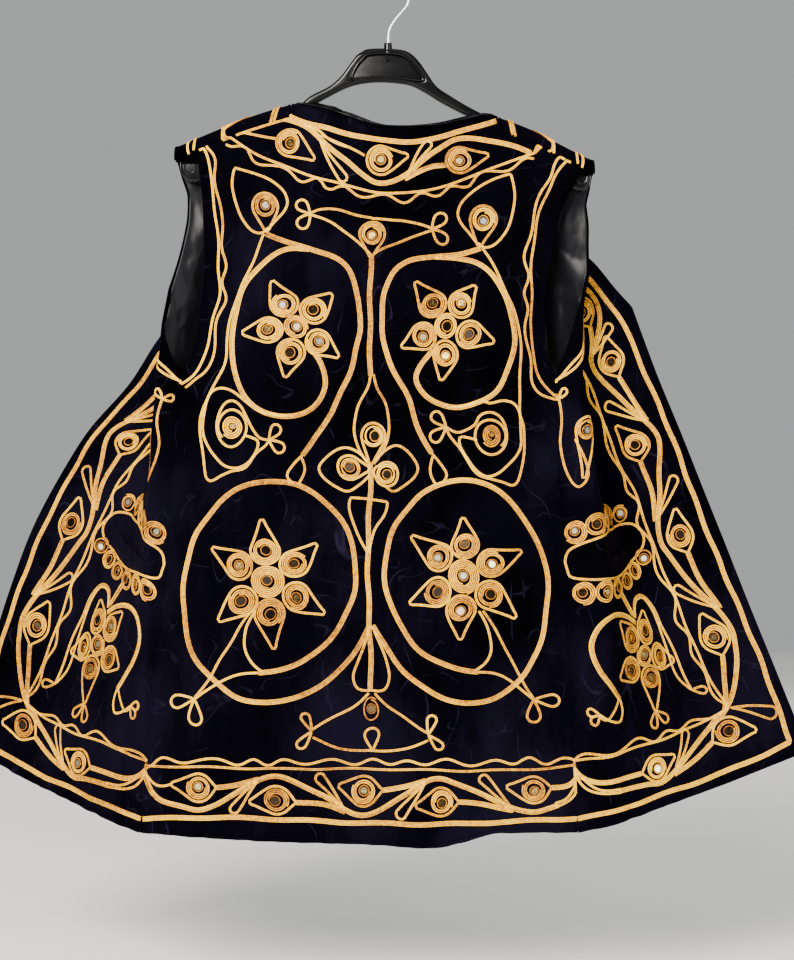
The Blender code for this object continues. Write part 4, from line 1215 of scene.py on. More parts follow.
# The lines that run across the whole back.
BACK_WHOLE = (
    (2, ((287, 116), (306, 125), (330, 130), (345, 134), (360, 138), (376, 141), (393, 142), (410, 142),
         (425, 140), (440, 137), (460, 131), (484, 124), (496, 120))),
    (2, ((236, 132), (262, 121), (282, 119), (303, 127), (326, 144), (346, 160), (362, 174), (376, 182),
         (390, 182), (406, 175), (422, 163), (438, 151), (454, 140), (472, 137), (497, 141), (531, 152))),
    (1, YOKE_EDGE),
    (1, ((321, 136), (345, 146), (364, 157))),
    (1, ((236, 131), (255, 134), (277, 138))),
    (2, ((404, 180), (422, 172), (434, 168), (447, 166))),
    (1, ((303, 126), (318, 132), (330, 140), (348, 148))),
    (2, ((371, 256), (371, 300), (371, 340), (370, 376))),
    (2, ((370, 463), (370, 500), (369, 550), (369, 600), (370, 690))),
    (1, ((369, 553), (356, 531), (349, 510), (350, 499), (350, 499), (388, 502), (388, 502), (386, 515),
         (375, 532), (369, 553))),
    (2, ((143, 818), (250, 819), (372, 822), (480, 824), (583, 817))),
    (1, ((143, 767), (250, 767), (372, 770), (480, 770), (583, 765))),
)
BACK_LEAVES = (
    # centre, radius, tip
    ((289, 143), 12.2, (315, 158)),
    ((380, 161), 12.6, (407, 156)),
    ((461, 160), 12.4, (487, 154)),
    ((372, 235), 12.0, (370, 257)),
    ((372, 435), 11.0, (371, 462)),
    ((349, 467), 11.4, (369, 468)),
    ((387, 474), 11.4, (374, 470)),
)
# place, radius, how far it is drawn out along y
BELL_MIRROR = ((370.6, 708.0), 9.8, 1.42)
SIDE_LEAF_BACK = ((264, 207), 12.2, (267, 231))
# A scroll by each side: where its coil lies, how far it is drawn out along x and y, how far its knot is
# raised. Its lines are measured from the coil, with x towards the back's axis.
SCROLLS = (((231.7, 427.2), 1.0, 1.0, 0.0), ((489.4, 436.9), -1.19, 0.93, -22.0))
SCROLL_STEM = ((264, 234), (252, 262), (240, 290), (232, 312), (228, 340), (225, 364))
SCROLL_STRAND = ((292, 416), (275, 414), (258, 409))
SCROLL_KNOT = (35.8, 13.8)
SCROLL_FRAME = ((-24.7, -27), (-29.2, -12), (-30, 8), (-28.7, 25), (-26.5, 44), (-24.5, 50.5), (-20.7, 53),
                (-11.7, 48.5), (-2.8, 45), (11.6, 42.2), (25, 27), (33.9, 18.8), SCROLL_KNOT)
SCROLL_INNER = ((0.3, -37.5), (-9.7, -40), (-18.7, -36.5), (-24.2, -27.2), (-26.5, -12), (-26.8, 9), (-23, 20),
                (-17.3, 29), (-8.4, 38.8), (2.3, 42), (11.8, 39.3), (19.3, 33.3), (25, 23), (24.8, 15),
                (19.3, 11.3), (12, 8.5))
SCROLL_LINK = (SCROLL_KNOT, (27, 11.8), (20, 3))
# Its spiral: where it starts and how often it turns, then how wide and tall it is and how much that shrinks.
SPIRAL_START = -0.44
SPIRAL_TURNS = 1.56
SPIRAL_WIDE = (14.4, 1.6)
SPIRAL_TALL = (27.5, 13.0)
SPIRAL_POINTS = 24
YOKE_LOOPS = (
    # foot, tip, width
    ((320, 140), (346, 181), 9.0),
    ((406, 176), (430, 142), 9.5),
    ((534, 153), (543, 138), 6.0),
    ((229, 136), (219, 124), 6.0),
)
BACK_STARS = (
    # centre, petals, heading, tip, distance, radius
    ((295, 328), 5, 102.0, 51.0, 26.5, 12.6),
    ((446, 327), 5, 90.0, 51.0, 26.0, 12.4),
    ((268, 582), 6, 86.0, 63.0, 32.0, 13.4),
    ((464, 577), 6, 94.0, 62.0, 31.5, 13.2),
)
ARMHOLE_LINES = (
    ((194, 137), (207, 152), (213, 188), (217, 228), (218, 266), (219, 292), (213, 320), (205, 352),
     (196, 372), (180, 384)),
    ((578, 150), (560, 170), (551, 187), (541, 212), (533, 252), (531, 289), (530, 325), (531, 352),
     (539, 378), (558, 396)),
)
ARMHOLE_WAVES = (
    ((203, 134), (212, 152), (218, 188), (222, 228), (223, 266), (224, 292), (219, 320), (212, 350),
     (205, 374), (184, 386)),
    ((570, 152), (553, 168), (546, 187), (536, 212), (528, 252), (526, 289), (525, 325), (526, 352),
     (533, 382), (556, 400)),
)
HEM_FLOWERS = (
    Flower(54.0, -4.0, 1),
    Flower(134.0, 6.0, -1),
    Flower(222.0, -5.0, 1),
    Flower(298.0, 5.0, -1),
    Flower(390.0, -6.0, 1),
)
HEM_MIDDLE = ((143, 793), (250, 793), (372, 796), (480, 797), (583, 792))
HEM_WAVE = ((141, 768), (165, 761), (250, 761), (372, 763), (480, 762), (560, 760), (586, 764))
HEM_TIES = ((146, 768), (580, 764))

# ---------- pattern of a front, p across, q up
FRONT_MIDDLE = ((137, 728), (112, 640), (86, 570), (62, 515), (48, 472), (43, 430), (42, 340), (42, 240),
                (42, 140), (43, 88), (49, 58), (66, 44), (100, 42), (180, 42), (252, 43))
FRONT_FLOWERS = (
    Flower(68.0, 2.0, -1),
    Flower(164.0, -2.0, 1),
    Flower(250.0, 2.0, -1),
    Flower(311.0, -4.0, 1),
    Flower(396.0, 7.0, -1, 24.0),
    Flower(498.0, -4.0, 1),
    Flower(606.0, 0.0, -1, leaf=0.0),
    Flower(709.0, 1.0, 1, 58.0),
    Flower(804.0, -1.0, -1),
)
FRONT_OUTER = ((115, 735), (98, 655), (75, 600), (50, 545), (26, 498), (13, 470), (11, 430), (10, 300),
               (10, 150), (10, 60), (11, 12), (11, 12), (60, 11), (150, 11), (256, 12))
FRONT_INNER = ((157, 719), (150, 640), (128, 565), (104, 515), (84, 472), (74, 430), (71, 390), (72, 345),
               (67, 300), (68, 240), (65, 180), (63, 120), (60, 82), (57, 67), (57, 67), (90, 63),
               (140, 65), (190, 71), (225, 73), (249, 70))
FRONT_WAVE = ((151, 722), (153, 640), (131, 562), (107, 513), (87, 471), (77, 430), (75, 388), (75, 345),
              (71, 300), (72, 240), (69, 180), (67, 120), (62, 84), (58, 69), (58, 69), (90, 66),
              (140, 69), (190, 75), (225, 76), (249, 71))
FRONT_ARMHOLE = ((188, 706), (178, 640), (168, 600), (160, 560), (160, 520), (166, 484), (180, 462),
                 (206, 450))
FRONT_STAR = ((134, 153), 5, -88.0, 47.0, 25.5, 12.3, MIRROR_RADIUS, (140, 95))
FRONT_CORDS = (
    (2, ((131, 185), (146, 196), (172, 205), (192, 200), (204, 184), (204, 158), (194, 136), (185, 122))),
    (1, ((185, 122), (184, 110), (190, 102), (201, 105), (212, 113))),
    (1, ((186, 124), (196, 113), (206, 107), (213, 112))),
    (2, ((129, 190), (117, 204), (101, 203), (92, 187), (90, 166))),
    (1, ((89, 172), (86, 145), (84, 115), (83, 97))),
    (1, ((91, 172), (93, 145), (92, 118), (83, 97))),
    (1, ((148, 224), (140, 208), (132, 192))),
    (1, ((145, 226), (136, 209), (129, 192))),
)
FRONT_BOWS = (((212, 113), -10.0, 13.0, 28.0, 8.0), ((140, 94), -92.0, 18.0, 36.0, 9.0))
FRONT_LOOPS = (
    # foot, tip, width
    ((83, 97), (69, 92), 8.0),
    ((56, 66), (14, 44), 13.0),
)
# The drop by the side seam, and how far it is moved over on the left front.
SIDE_DROP = ((203, 432), (201, 405), (205, 380), (200, 357), (187, 338), (177, 345), (179, 365), (187, 386))
SIDE_LEAF = ((173, 395), 11.4, (181, 346))
SIDE_SHIFT = 17.0
POCKET_MOUTH = ((211, 265), (206, 276), (190, 283), (172, 286), (125, 282), (90, 278), (78, 272), (74, 259),
                (83, 246), (100, 239), (127, 235), (165, 239), (190, 244), (209, 252))
POCKET_FLOWERS = (
    # place, radius, how far it is drawn out along the pocket
    ((196, 295), 12.6, 1.0),
    ((175, 299), 12.2, 1.1),
    ((147, 298), 12.4, 1.3),
    ((112, 294), 12.0, 1.4),
    ((88, 288), 9.6, 1.0),
    ((198, 232), 12.4, 1.0),
    ((176, 229), 11.8, 1.1),
    ((150, 226), 11.6, 1.3),
    ((122, 226), 11.0, 1.3),
    ((98, 231), 11.0, 1.1),
    ((81, 240), 9.4, 1.0),
)
POCKET_LIP = ((208, 267), (190, 261), (174, 259), (150, 257), (124, 256), (98, 258), (80, 265))
POCKET_FOOT = ((76, 262), (84, 252), (100, 244), (127, 239.5), (165, 243), (190, 248), (209, 256))
POCKET_COLUMNS = 61
POCKET_ROWS = 9
# Gathers of the pocket's edge: length in millimetres, height, start; how they move and how they lift it.
GATHERS = ((13.0, 1.0, 0.0), (8.3, 0.6, 1.0))
GATHER_MOVE = 0.7
GATHER_LIFT = 0.8
POCKET_REST = 1.7
POCKET_OPEN = 2.6
UPPER_STAR = ((124, 398), 5, 90.0, 34.0, 18.5, 8.6)


def each(add: Callable[..., None], rows: Sequence[tuple]) -> None:
    """Adds each row of a table to a pattern."""
    for row in rows:
        add(*row)


def mirrored(place: Pair) -> Pair:
    """The place across the back's axis, in the reflection."""
    wide, lower = (float(np.interp(place[1], REFLECTION[:, 0], REFLECTION[:, k])) for k in (1, 2))
    near = min(abs(place[0] - AXIS) / 40.0, 1.0)
    return AXIS + (AXIS - place[0]) * wide, place[1] + lower * near


def side_scroll(pattern: Pattern, centre: Pair, wide: float, tall: float, raised: float) -> None:
    """Adds the scroll by one side of the back: a coil that opens into a spiral, in a frame with a bow.

    Args:
        pattern: The pattern that it joins.
        centre: The middle of its coil.
        wide: How far it is drawn out along x; below 0 it is reflected.
        tall: How far it is drawn out along y.
        raised: How far the knot's side is moved along y.
    """

    def placed(x: float, y: float) -> Pair:
        return centre[0] + wide * x, centre[1] + tall * y + raised * max(x - 8.0, 0.0) / 28.0

    across = mirrored if wide < 0 else tuple
    pattern.medallion(centre, 10.6, 90.0, 2.4, (1.0, 1.2))
    pattern.cord(1, *map(across, SCROLL_STEM), *(placed(*place) for place in SCROLL_FRAME))
    pattern.cord(1, *map(across, SCROLL_STRAND), *(placed(*place) for place in SCROLL_INNER))
    share = np.linspace(0.0, 1.0, SPIRAL_POINTS)
    turn = SPIRAL_START - 2 * math.pi * SPIRAL_TURNS * share
    x = (SPIRAL_WIDE[0] - SPIRAL_WIDE[1] * share) * np.cos(turn)
    y = (SPIRAL_TALL[0] - SPIRAL_TALL[1] * share**0.85) * np.sin(turn) - 1.5 * (1 - share)
    spiral = [(centre[0] + wide * float(a), centre[1] + tall * float(b)) for a, b in zip(x, y)]
    pattern.cord(1, *(placed(*place) for place in SCROLL_LINK), *spiral)
    heading = -12.0 if wide > 0 else 180.0
    pattern.bow(placed(*SCROLL_KNOT), heading, 19.0, 44.0, 11.0)


def back_pattern() -> Pattern:
    """The embroidery of the back."""
    pattern = Pattern()
    pattern.cords(BACK_WHOLE)
    for strands, places in BACK_HALF:
        pattern.cord(strands, *places)
        pattern.cord(strands, *map(mirrored, places))
    for knot, *bow in BACK_HALF_BOWS:
        pattern.bow(knot, *bow)
        pattern.bow(mirrored(knot), 180 - bow[0], *bow[1:])
    each(pattern.leaf, BACK_LEAVES)
    centre, radius, tip = SIDE_LEAF_BACK
    pattern.leaf(centre, radius, tip)
    pattern.leaf(mirrored(centre), radius, mirrored(tip))
    for scroll in SCROLLS:
        side_scroll(pattern, *scroll)
    each(pattern.loop, YOKE_LOOPS)
    pattern.loop((374, 752), (372, 728), 15.0)
    bell, radius, drawn = BELL_MIRROR
    pattern.medallion(bell, radius, -90.0, stretch=(1.0, drawn))
    each(pattern.star, BACK_STARS)
    for line in ARMHOLE_LINES:
        pattern.cord(1, *line)
    for line in ARMHOLE_WAVES:
        pattern.wavy(1, line, 47.0, 2.2)
    pattern.wavy(1, YOKE_EDGE, 36.0, 3.6, 1.0, (0.0, 5.0))
    pattern.wavy(1, HEM_WAVE, 40.0, 2.7)
    pattern.band(HEM_MIDDLE, HEM_FLOWERS)
    for tie in HEM_TIES:
        pattern.medallion(tie, 4.6, mirror=0.0)
    return pattern


def front_pattern(shift: float) -> Pattern:
    """The embroidery of a front, its drop by the side seam moved over by a shift."""
    pattern = Pattern()
    pattern.cord(2, *FRONT_OUTER)
    pattern.cord(1, *FRONT_INNER)
    pattern.wavy(1, FRONT_WAVE, 46.0, 3.0)
    pattern.band(FRONT_MIDDLE, FRONT_FLOWERS)
    pattern.cord(1, *FRONT_ARMHOLE)
    pattern.wavy(1, [(p + 5, q) for p, q in FRONT_ARMHOLE], 47.0, 2.2)
    each(pattern.star, (FRONT_STAR, UPPER_STAR))
    pattern.cords(FRONT_CORDS)
    each(pattern.bow, FRONT_BOWS)
    each(pattern.loop, FRONT_LOOPS)
    pattern.cord(1, *((p - shift, q) for p, q in SIDE_DROP))
    pattern.bow((SIDE_DROP[0][0] - shift, SIDE_DROP[0][1]), 75.0, 13.0, 62.0, 7.0)
    (p, q), radius, (tip_p, tip_q) = SIDE_LEAF
    pattern.leaf((p - shift, q), radius, (tip_p - shift, tip_q))
    pattern.cord(1, *POCKET_MOUTH, closed=True)
    for place, radius, stretch in POCKET_FLOWERS:
        pattern.medallion(place, radius, 40.0, 4.2, (stretch, 1.0))
    return pattern


# ---------- hanger and hook
# A moulded frame on either end, in millimetres, as reflected in x.
END_OUTLINE = np.array([
    # x, z
    (192.5, -187.5), (197.5, -191.5), (198.8, -201), (197.5, -208), (192.5, -210), (188.5, -206),
    (188, -195),
])
# How far the left end's frame is moved from that reflection.
LEFT_END = (-4.0, 10.0)
OUTLINE_STEP = 2.5


def add_spline(curve: Curve, points: Array, closed: bool) -> None:
    """Adds a run of points to a curve; a closed one repeats its first point, which is left out."""
    points = points[:-1] if closed else points
    spline = curve.splines.new("POLY")
    spline.points.add(len(points) - 1)
    for point, place in zip(spline.points, points):
        point.co = (*place, 1.0)
    spline.use_cyclic_u = closed


def curve_mesh(name: str, curve: Curve) -> Mesh:
    """The mesh of a curve, which is then removed."""
    holder = in_scene(name, curve)
    bpy.context.view_layer.update()
    drawn = holder.evaluated_get(bpy.context.evaluated_depsgraph_get())
    mesh = bpy.data.meshes.new_from_object(drawn)
    bpy.data.objects.remove(holder)
    bpy.data.curves.remove(curve)
    mesh.name = name
    return mesh


def plate(name: str, outlines: Sequence[Array], thickness: float, rounding: float) -> Mesh:
    """A plate in the hanger's plane, each outline after the first a window in it."""
    curve = set_up(bpy.data.curves.new(name, "CURVE"), dimensions="2D", fill_mode="BOTH", bevel_resolution=4,
                   extrude=thickness / 2 - rounding, bevel_depth=rounding, offset=-rounding)
    for outline in outlines:
        add_spline(curve, np.insert(curve_through(outline, OUTLINE_STEP, True) * MM, 2, 0.0, axis=1), True)
    mesh = curve_mesh(name, curve)
    spot = np.empty(len(mesh.vertices) * 3, dtype=np.float32)
    mesh.vertices.foreach_get("co", spot)
    spot = spot.reshape(-1, 3)
    mesh.vertices.foreach_set("co", np.stack((spot[:, 0], -spot[:, 2], spot[:, 1]), axis=1).ravel())
    return mesh


def rod(name: str, line: Array, radius: float, detail: int, closed: bool) -> Mesh:
    """A round rod along a line in the room; an open one has capped ends."""
    curve = set_up(bpy.data.curves.new(name, "CURVE"), dimensions="3D", bevel_depth=radius,
                   bevel_resolution=detail, use_fill_caps=not closed)
    add_spline(curve, line, closed)
    return curve_mesh(name, curve)


@dataclass(frozen=True)
class Hanger:
    """The moulded hanger: a rounded frame, a thin web in its beaded window, a pin and a collar."""

    thickness: float = 0.010
    rounding: float = 0.0035
    web: float = 0.003
    web_rounding: float = 0.0002
    bead_radius: float = 0.0011
    bead_depth: float = 0.0040
    pin_radius: float = 0.0022
    pin_depth: float = 0.008
    pin_place: Pair = (-0.0013, -0.0845)
    collar_radius: float = 0.0042
    collar_top: float = -0.0690
    collar_foot: float = -0.0790
    collar_flare: float = 1.2
    sharp: float = math.radians(35.0)

    def bead(self, name: str, outline: Array, depth: float) -> Mesh:
        """A round bead along an outline, this far in front of the hanger's middle plane."""
        smooth = curve_through(outline, OUTLINE_STEP, True) * MM
        return rod(name, np.insert(smooth, 1, -depth, axis=1), self.bead_radius, 3, True)

    def build(self, material: Material) -> Object:
        """Makes the hanger of this material."""
        work = bmesh.new()
        parts = (
            plate("frame", (HANGER_OUTLINE, WINDOW_OUTLINE), self.thickness, self.rounding),
            plate("web", (WINDOW_OUTLINE,), self.web, self.web_rounding),
            self.bead("front_bead", WINDOW_OUTLINE, self.bead_depth),
            self.bead("rear_bead", WINDOW_OUTLINE, -self.bead_depth),
            self.bead("right_bead", END_OUTLINE, self.thickness / 2),
            self.bead("left_bead", END_OUTLINE * (-1.0, 1.0) + LEFT_END, self.thickness / 2),
        )
        for mesh in parts:
            work.from_mesh(mesh)
            bpy.data.meshes.remove(mesh)
        middle = Matrix.Translation((0.0, 0.0, (self.collar_top + self.collar_foot) / 2))
        bmesh.ops.create_cone(work, cap_ends=True, segments=40, matrix=middle,
                              radius1=self.collar_radius * self.collar_flare, radius2=self.collar_radius,
                              depth=self.collar_top - self.collar_foot)
        across = Matrix.Rotation(math.pi / 2, 4, "X")
        across.translation = (self.pin_place[0], 0.0, self.pin_place[1])
        bmesh.ops.create_cone(work, cap_ends=True, segments=20, matrix=across, radius1=self.pin_radius,
                              radius2=self.pin_radius, depth=self.pin_depth)
        bmesh.ops.remove_doubles(work, verts=work.verts, dist=1e-6)
        bmesh.ops.recalc_face_normals(work, faces=work.faces)
        mesh = mesh_of("hanger_moulding", work)
        mesh.shade_smooth()
        mesh.set_sharp_from_angle(angle=self.sharp)
        return finished("hanger_moulding", mesh, material)


@dataclass(frozen=True)
class Hook:
    """The wire hook: up from the collar, aside along its route, and round over the rail."""

    wire: float = 0.0016
    radius: float = 0.0221
    route: tuple[Pair, ...] = (
        (0.0002, -0.0735), (0.0003, -0.0690), (0.0008, -0.0585), (0.0022, -0.0538), (0.0075, -0.0450),
        (0.0150, -0.0362), (0.0193, -0.0306), (0.0208, -0.0255))
    arc: Pair = (math.radians(-8.0), math.radians(191.0))
    arc_points: int = 40
    step: float = 1.2

    def build(self, material: Material) -> Object:
        """Makes the hook of this material."""
        line = (*self.route, *circle((0.0, self.wire - self.radius), self.radius, *self.arc, self.arc_points))
        smooth = curve_through(np.array(line) / MM, self.step) * MM
        mesh = rod("hook_wire", np.insert(smooth, 1, 0.0, axis=1), self.wire, 6, False)
        mesh.shade_smooth()
        return finished("hook_wire", mesh, material)


# ---------- mirrors
MIRROR_SIDES = 22
MIRROR_HEIGHT = 0.0011
MIRROR_TILT = 0.22
MIRROR_SLOPE = 0.5


def mirror_piece(name: str, panel: Panel, mirrors: Sequence[Mirror], material: Material) -> Object:
    """Every mirror of a panel as one piece, each tipped a little its own way.

    Args:
        name: The piece's name.
        panel: The panel that they lie on.
        mirrors: Their places and sizes.
        material: Their material, which reads the attributes "tint" from 0 to 1 and "rim", 1 at the edge.

    Returns:
        The piece.
    """
    chance = random.Random(SEED + len(mirrors))
    work = bmesh.new()
    tint = work.verts.layers.float.new("tint")
    rim = work.verts.layers.float.new("rim")
    spots, normals = panel.lay(drifted(np.array([mirror.place for mirror in mirrors])))
    for mirror, spot, normal in zip(mirrors, spots, normals):
        tip = Vector([chance.uniform(-MIRROR_TILT, MIRROR_TILT) for _ in range(3)])
        facing = (Vector(normal) + tip).normalized()
        turn = facing.to_track_quat("Z", "Y").to_matrix().to_4x4()
        turn.translation = Vector(spot) + Vector(normal) * MIRROR_HEIGHT
        disc = bmesh.ops.create_cone(work, cap_ends=True, cap_tris=True, segments=MIRROR_SIDES,
                                     radius1=mirror.radius * MM, radius2=(mirror.radius - MIRROR_SLOPE) * MM,
                                     depth=MIRROR_HEIGHT, matrix=turn)
        shade = chance.random()
        for vertex in disc["verts"]:
            vertex[tint] = shade
            away = vertex.co - turn.translation
            vertex[rim] = away.length / (mirror.radius * MM)
    return finished(name, mesh_of(name, work), material)


# ---------- materials
class Slot(Enum):
    """The record's material slots."""

    VELVET = "velvet"
    SATIN = "black_satin"
    GOLD = "gold_cord"
    PLASTIC = "hanger_plastic"
    STEEL = "hook_steel"


class Graph:
    """Adds nodes to a tree and links them."""

    def __init__(self, tree: NodeTree) -> None:
        self.tree = tree

    def node(self, kind: str, **settings: object) -> Node:
        """A new node with its properties set."""
        return set_up(self.tree.nodes.new(kind), **settings)

    def feed(self, node: Node, socket: str | int, value: object) -> None:
        """Links an output to a socket, or sets the socket to a constant."""
        target = node.inputs[socket]
        if isinstance(value, NodeSocket):
            self.tree.links.new(value, target)
        else:
            target.default_value = value

    def fill(self, node: Node, **values: object) -> Node:
        """Feeds several sockets of a node; a name has _ where its socket's has a space."""
        for name, value in values.items():
            self.feed(node, name.replace("_", " "), value)
        return node

    def maths(self, operation: str, *values: object) -> NodeSocket:
        """The result of a sum on values or outputs."""
        made = self.node("ShaderNodeMath", operation=operation)
        for k, value in enumerate(values):
            self.feed(made, k, value)
        return made.outputs[0]

    def noise(self, vector: NodeSocket, scale: object, detail: object = 3.0,
              roughness: object = 0.55) -> NodeSocket:
        """A noise from 0 to 1."""
        made = self.fill(self.node("ShaderNodeTexNoise"), Vector=vector, Scale=scale, Detail=detail,
                         Roughness=roughness)
        return made.outputs["Fac"]

    def stretched(self, vector: NodeSocket, scale: object) -> NodeSocket:
        """Coordinates drawn out along their axes."""
        return self.fill(self.node("ShaderNodeMapping"), Vector=vector, Scale=scale).outputs[0]

    def ramp(self, value: NodeSocket, *stops: tuple[float, Triple]) -> NodeSocket:
        """A colour that runs through stops as the value rises."""
        made = self.node("ShaderNodeValToRGB")
        elements = made.color_ramp.elements
        while len(elements) < len(stops):
            elements.new(0.5)
        for element, (at, colour) in zip(elements, stops):
            element.position = at
            element.color = (*colour, 1.0)
        return self.fill(made, Fac=value).outputs["Color"]

    def between(self, value: object, low: float, high: float, low_at: float = 0.0, high_at: object = 1.0,
                clamp: bool = False) -> NodeSocket:
        """A number from low to high as the value rises; clamped, it stays between 0 and 1."""
        made = self.fill(self.node("ShaderNodeMapRange", clamp=False), Value=value,
                         From_Min=low_at, From_Max=high_at, To_Min=low, To_Max=high)
        if clamp:
            made = self.fill(self.node("ShaderNodeClamp"), Value=made.outputs[0])
        return made.outputs[0]

    def lines(self, vector: NodeSocket, scale: float, width: float, detail: float = 2.0) -> NodeSocket:
        """Thin wandering lines, from their group."""
        made = self.placed(lines_group(), Vector=vector, Scale=scale, Width=width, Detail=detail)
        return made.outputs["Line"]

    def grain(self, vector: NodeSocket, scale: float, distance: float, strength: float, detail: float = 3.0,
              roughness: float = 0.55, under: Optional[NodeSocket] = None) -> Node:
        """A fine grain, from its group, on a normal that is bent already or else on the surface's own."""
        under = under or self.node("ShaderNodeNewGeometry").outputs["Normal"]
        return self.placed(grain_group(), Vector=vector, Scale=scale, Detail=detail, Roughness=roughness,
                           Distance=distance, Strength=strength, Normal=under)

    def streaks(self, vector: NodeSocket, stretch: Triple, scale: float, detail: float,
                roughness: float = 0.55) -> NodeSocket:
        """A noise drawn out into streaks, from its group."""
        made = self.placed(streaks_group(), Vector=vector, Stretch=stretch, Scale=scale, Detail=detail,
                           Roughness=roughness)
        return made.outputs["Value"]

    def placed(self, group: NodeTree, **values: object) -> Node:
        """A group placed with its own values."""
        return self.fill(self.node("ShaderNodeGroup", node_tree=group), **values)

    def mix(self, colour: NodeSocket, other: Triple, share: NodeSocket) -> NodeSocket:
        """A colour that gives way to another as the share goes from 0 to 1."""
        made = self.node("ShaderNodeMix", data_type="RGBA")
        for socket, value in ((0, share), (6, colour), (7, (*other, 1.0))):
            self.feed(made, socket, value)
        return made.outputs[2]

    def bump(self, height: NodeSocket, distance: object, strength: object,
             under: Optional[NodeSocket] = None) -> NodeSocket:
        """A normal bent by a height."""
        made = self.fill(self.node("ShaderNodeBump"), Height=height, Distance=distance, Strength=strength)
        if under is not None:
            self.feed(made, "Normal", under)
        return made.outputs[0]


VECTORS = ("Vector", "Stretch", "Normal")


def new_group(name: str, inputs: Sequence[str], outputs: Sequence[str]) -> tuple[Graph, Node, Node]:
    """An empty shader group.

    Args:
        name: Its name.
        inputs: Its inputs; those that VECTORS names hold vectors and the others numbers.
        outputs: Its outputs, likewise.

    Returns:
        Its graph, and the nodes that hold its inputs and its outputs.
    """
    tree = bpy.data.node_groups.new(name, "ShaderNodeTree")
    for way, names in (("INPUT", inputs), ("OUTPUT", outputs)):
        for socket in names:
            kind = "NodeSocketVector" if socket in VECTORS else "NodeSocketFloat"
            tree.interface.new_socket(socket, in_out=way, socket_type=kind)
    graph = Graph(tree)
    return graph, graph.node("NodeGroupInput"), graph.node("NodeGroupOutput")


@cache
def lines_group() -> NodeTree:
    """Thin wandering lines: 1 on each line and 0 past its width."""
    graph, given, result = new_group("wandering_lines", ("Vector", "Scale", "Width", "Detail"), ("Line",))
    vector, scale, width, detail = given.outputs[:4]
    level = graph.maths("ABSOLUTE", graph.maths("SUBTRACT", graph.noise(vector, scale, detail, 0.5), 0.5))
    graph.feed(result, "Line", graph.between(level, 1.0, 0.0, 0.0, width, True))
    return graph.tree


@cache
def streaks_group() -> NodeTree:
    """A noise drawn out into streaks: brushed pile, creased satin, scuffs or drawn wire."""
    inputs = ("Vector", "Stretch", "Scale", "Detail", "Roughness")
    graph, given, result = new_group("streaks", inputs, ("Value",))
    vector, stretch, *settings = given.outputs[:5]
    graph.feed(result, "Value", graph.noise(graph.stretched(vector, stretch), *settings))
    return graph.tree


@cache
def grain_group() -> NodeTree:
    """A fine grain that bends a normal: pile, weave, fibre or a moulded surface."""
    inputs = ("Vector", "Scale", "Detail", "Roughness", "Distance", "Strength", "Normal")
    graph, given, result = new_group("fine_grain", inputs, ("Value", "Normal"))
    vector, scale, detail, roughness, distance, strength, under = given.outputs[:7]
    value = graph.noise(vector, scale, detail, roughness)
    graph.feed(result, "Value", value)
    graph.feed(result, "Normal", graph.bump(value, distance, strength, under))
    return graph.tree


@dataclass(frozen=True)
class Finish:
    """The fixed values of a finish; what varies comes from its nodes."""

    name: str
    colour: Triple
    roughness: float
    metallic: float = 0.0
    specular: float = 0.5
    sheen: float = 0.0
    sheen_roughness: float = 0.5
    sheen_tint: Triple = (1.0, 1.0, 1.0)
    coat: float = 0.0
    coat_roughness: float = 0.1
    anisotropy: float = 0.0


VELVET = Finish("velvet", (0.0006, 0.0005, 0.0014), 0.95, specular=0.006, sheen=0.024, sheen_roughness=0.26,
                sheen_tint=(0.52, 0.38, 0.70))
SATIN = Finish("black_satin", (0.003, 0.003, 0.0045), 0.30, specular=0.09, anisotropy=0.35)
GOLD_CORD = Finish("gold_cord", (0.92, 0.55, 0.06), 0.52, specular=0.14, sheen=0.02, sheen_roughness=0.4,
                   sheen_tint=(1.0, 0.70, 0.25))
PLASTIC = Finish("hanger_plastic", (0.0015, 0.0015, 0.0018), 0.20, specular=0.16)
STEEL = Finish("hook_steel", (0.36, 0.36, 0.37), 0.24, metallic=1.0)
MIRROR_GLASS = Finish("small_mirror", (0.70, 0.64, 0.48), 0.10, metallic=1.0, coat=0.2)
FLOOR = Finish("pale_floor", (0.80, 0.79, 0.77), 0.6)


def new_material(finish: Finish) -> tuple[Material, Graph, Node, NodeSocket]:
    """A material with the fixed values of a finish.

    Args:
        finish: Its values.

    Returns:
        The material, its node graph, its shader and the place on the piece.
    """
    material = bpy.data.materials.new(finish.name)
    material.use_nodes = True
    shader = material.node_tree.nodes["Principled BSDF"]
    graph = Graph(material.node_tree)
    graph.fill(shader, Base_Color=(*finish.colour, 1.0), Roughness=finish.roughness, Metallic=finish.metallic,
               Specular_IOR_Level=finish.specular, Sheen_Weight=finish.sheen,
               Sheen_Roughness=finish.sheen_roughness, Sheen_Tint=(*finish.sheen_tint, 1.0),
               Coat_Weight=finish.coat, Coat_Roughness=finish.coat_roughness, Anisotropic=finish.anisotropy)
    return material, graph, shader, graph.node("ShaderNodeTexCoord").outputs["Object"]


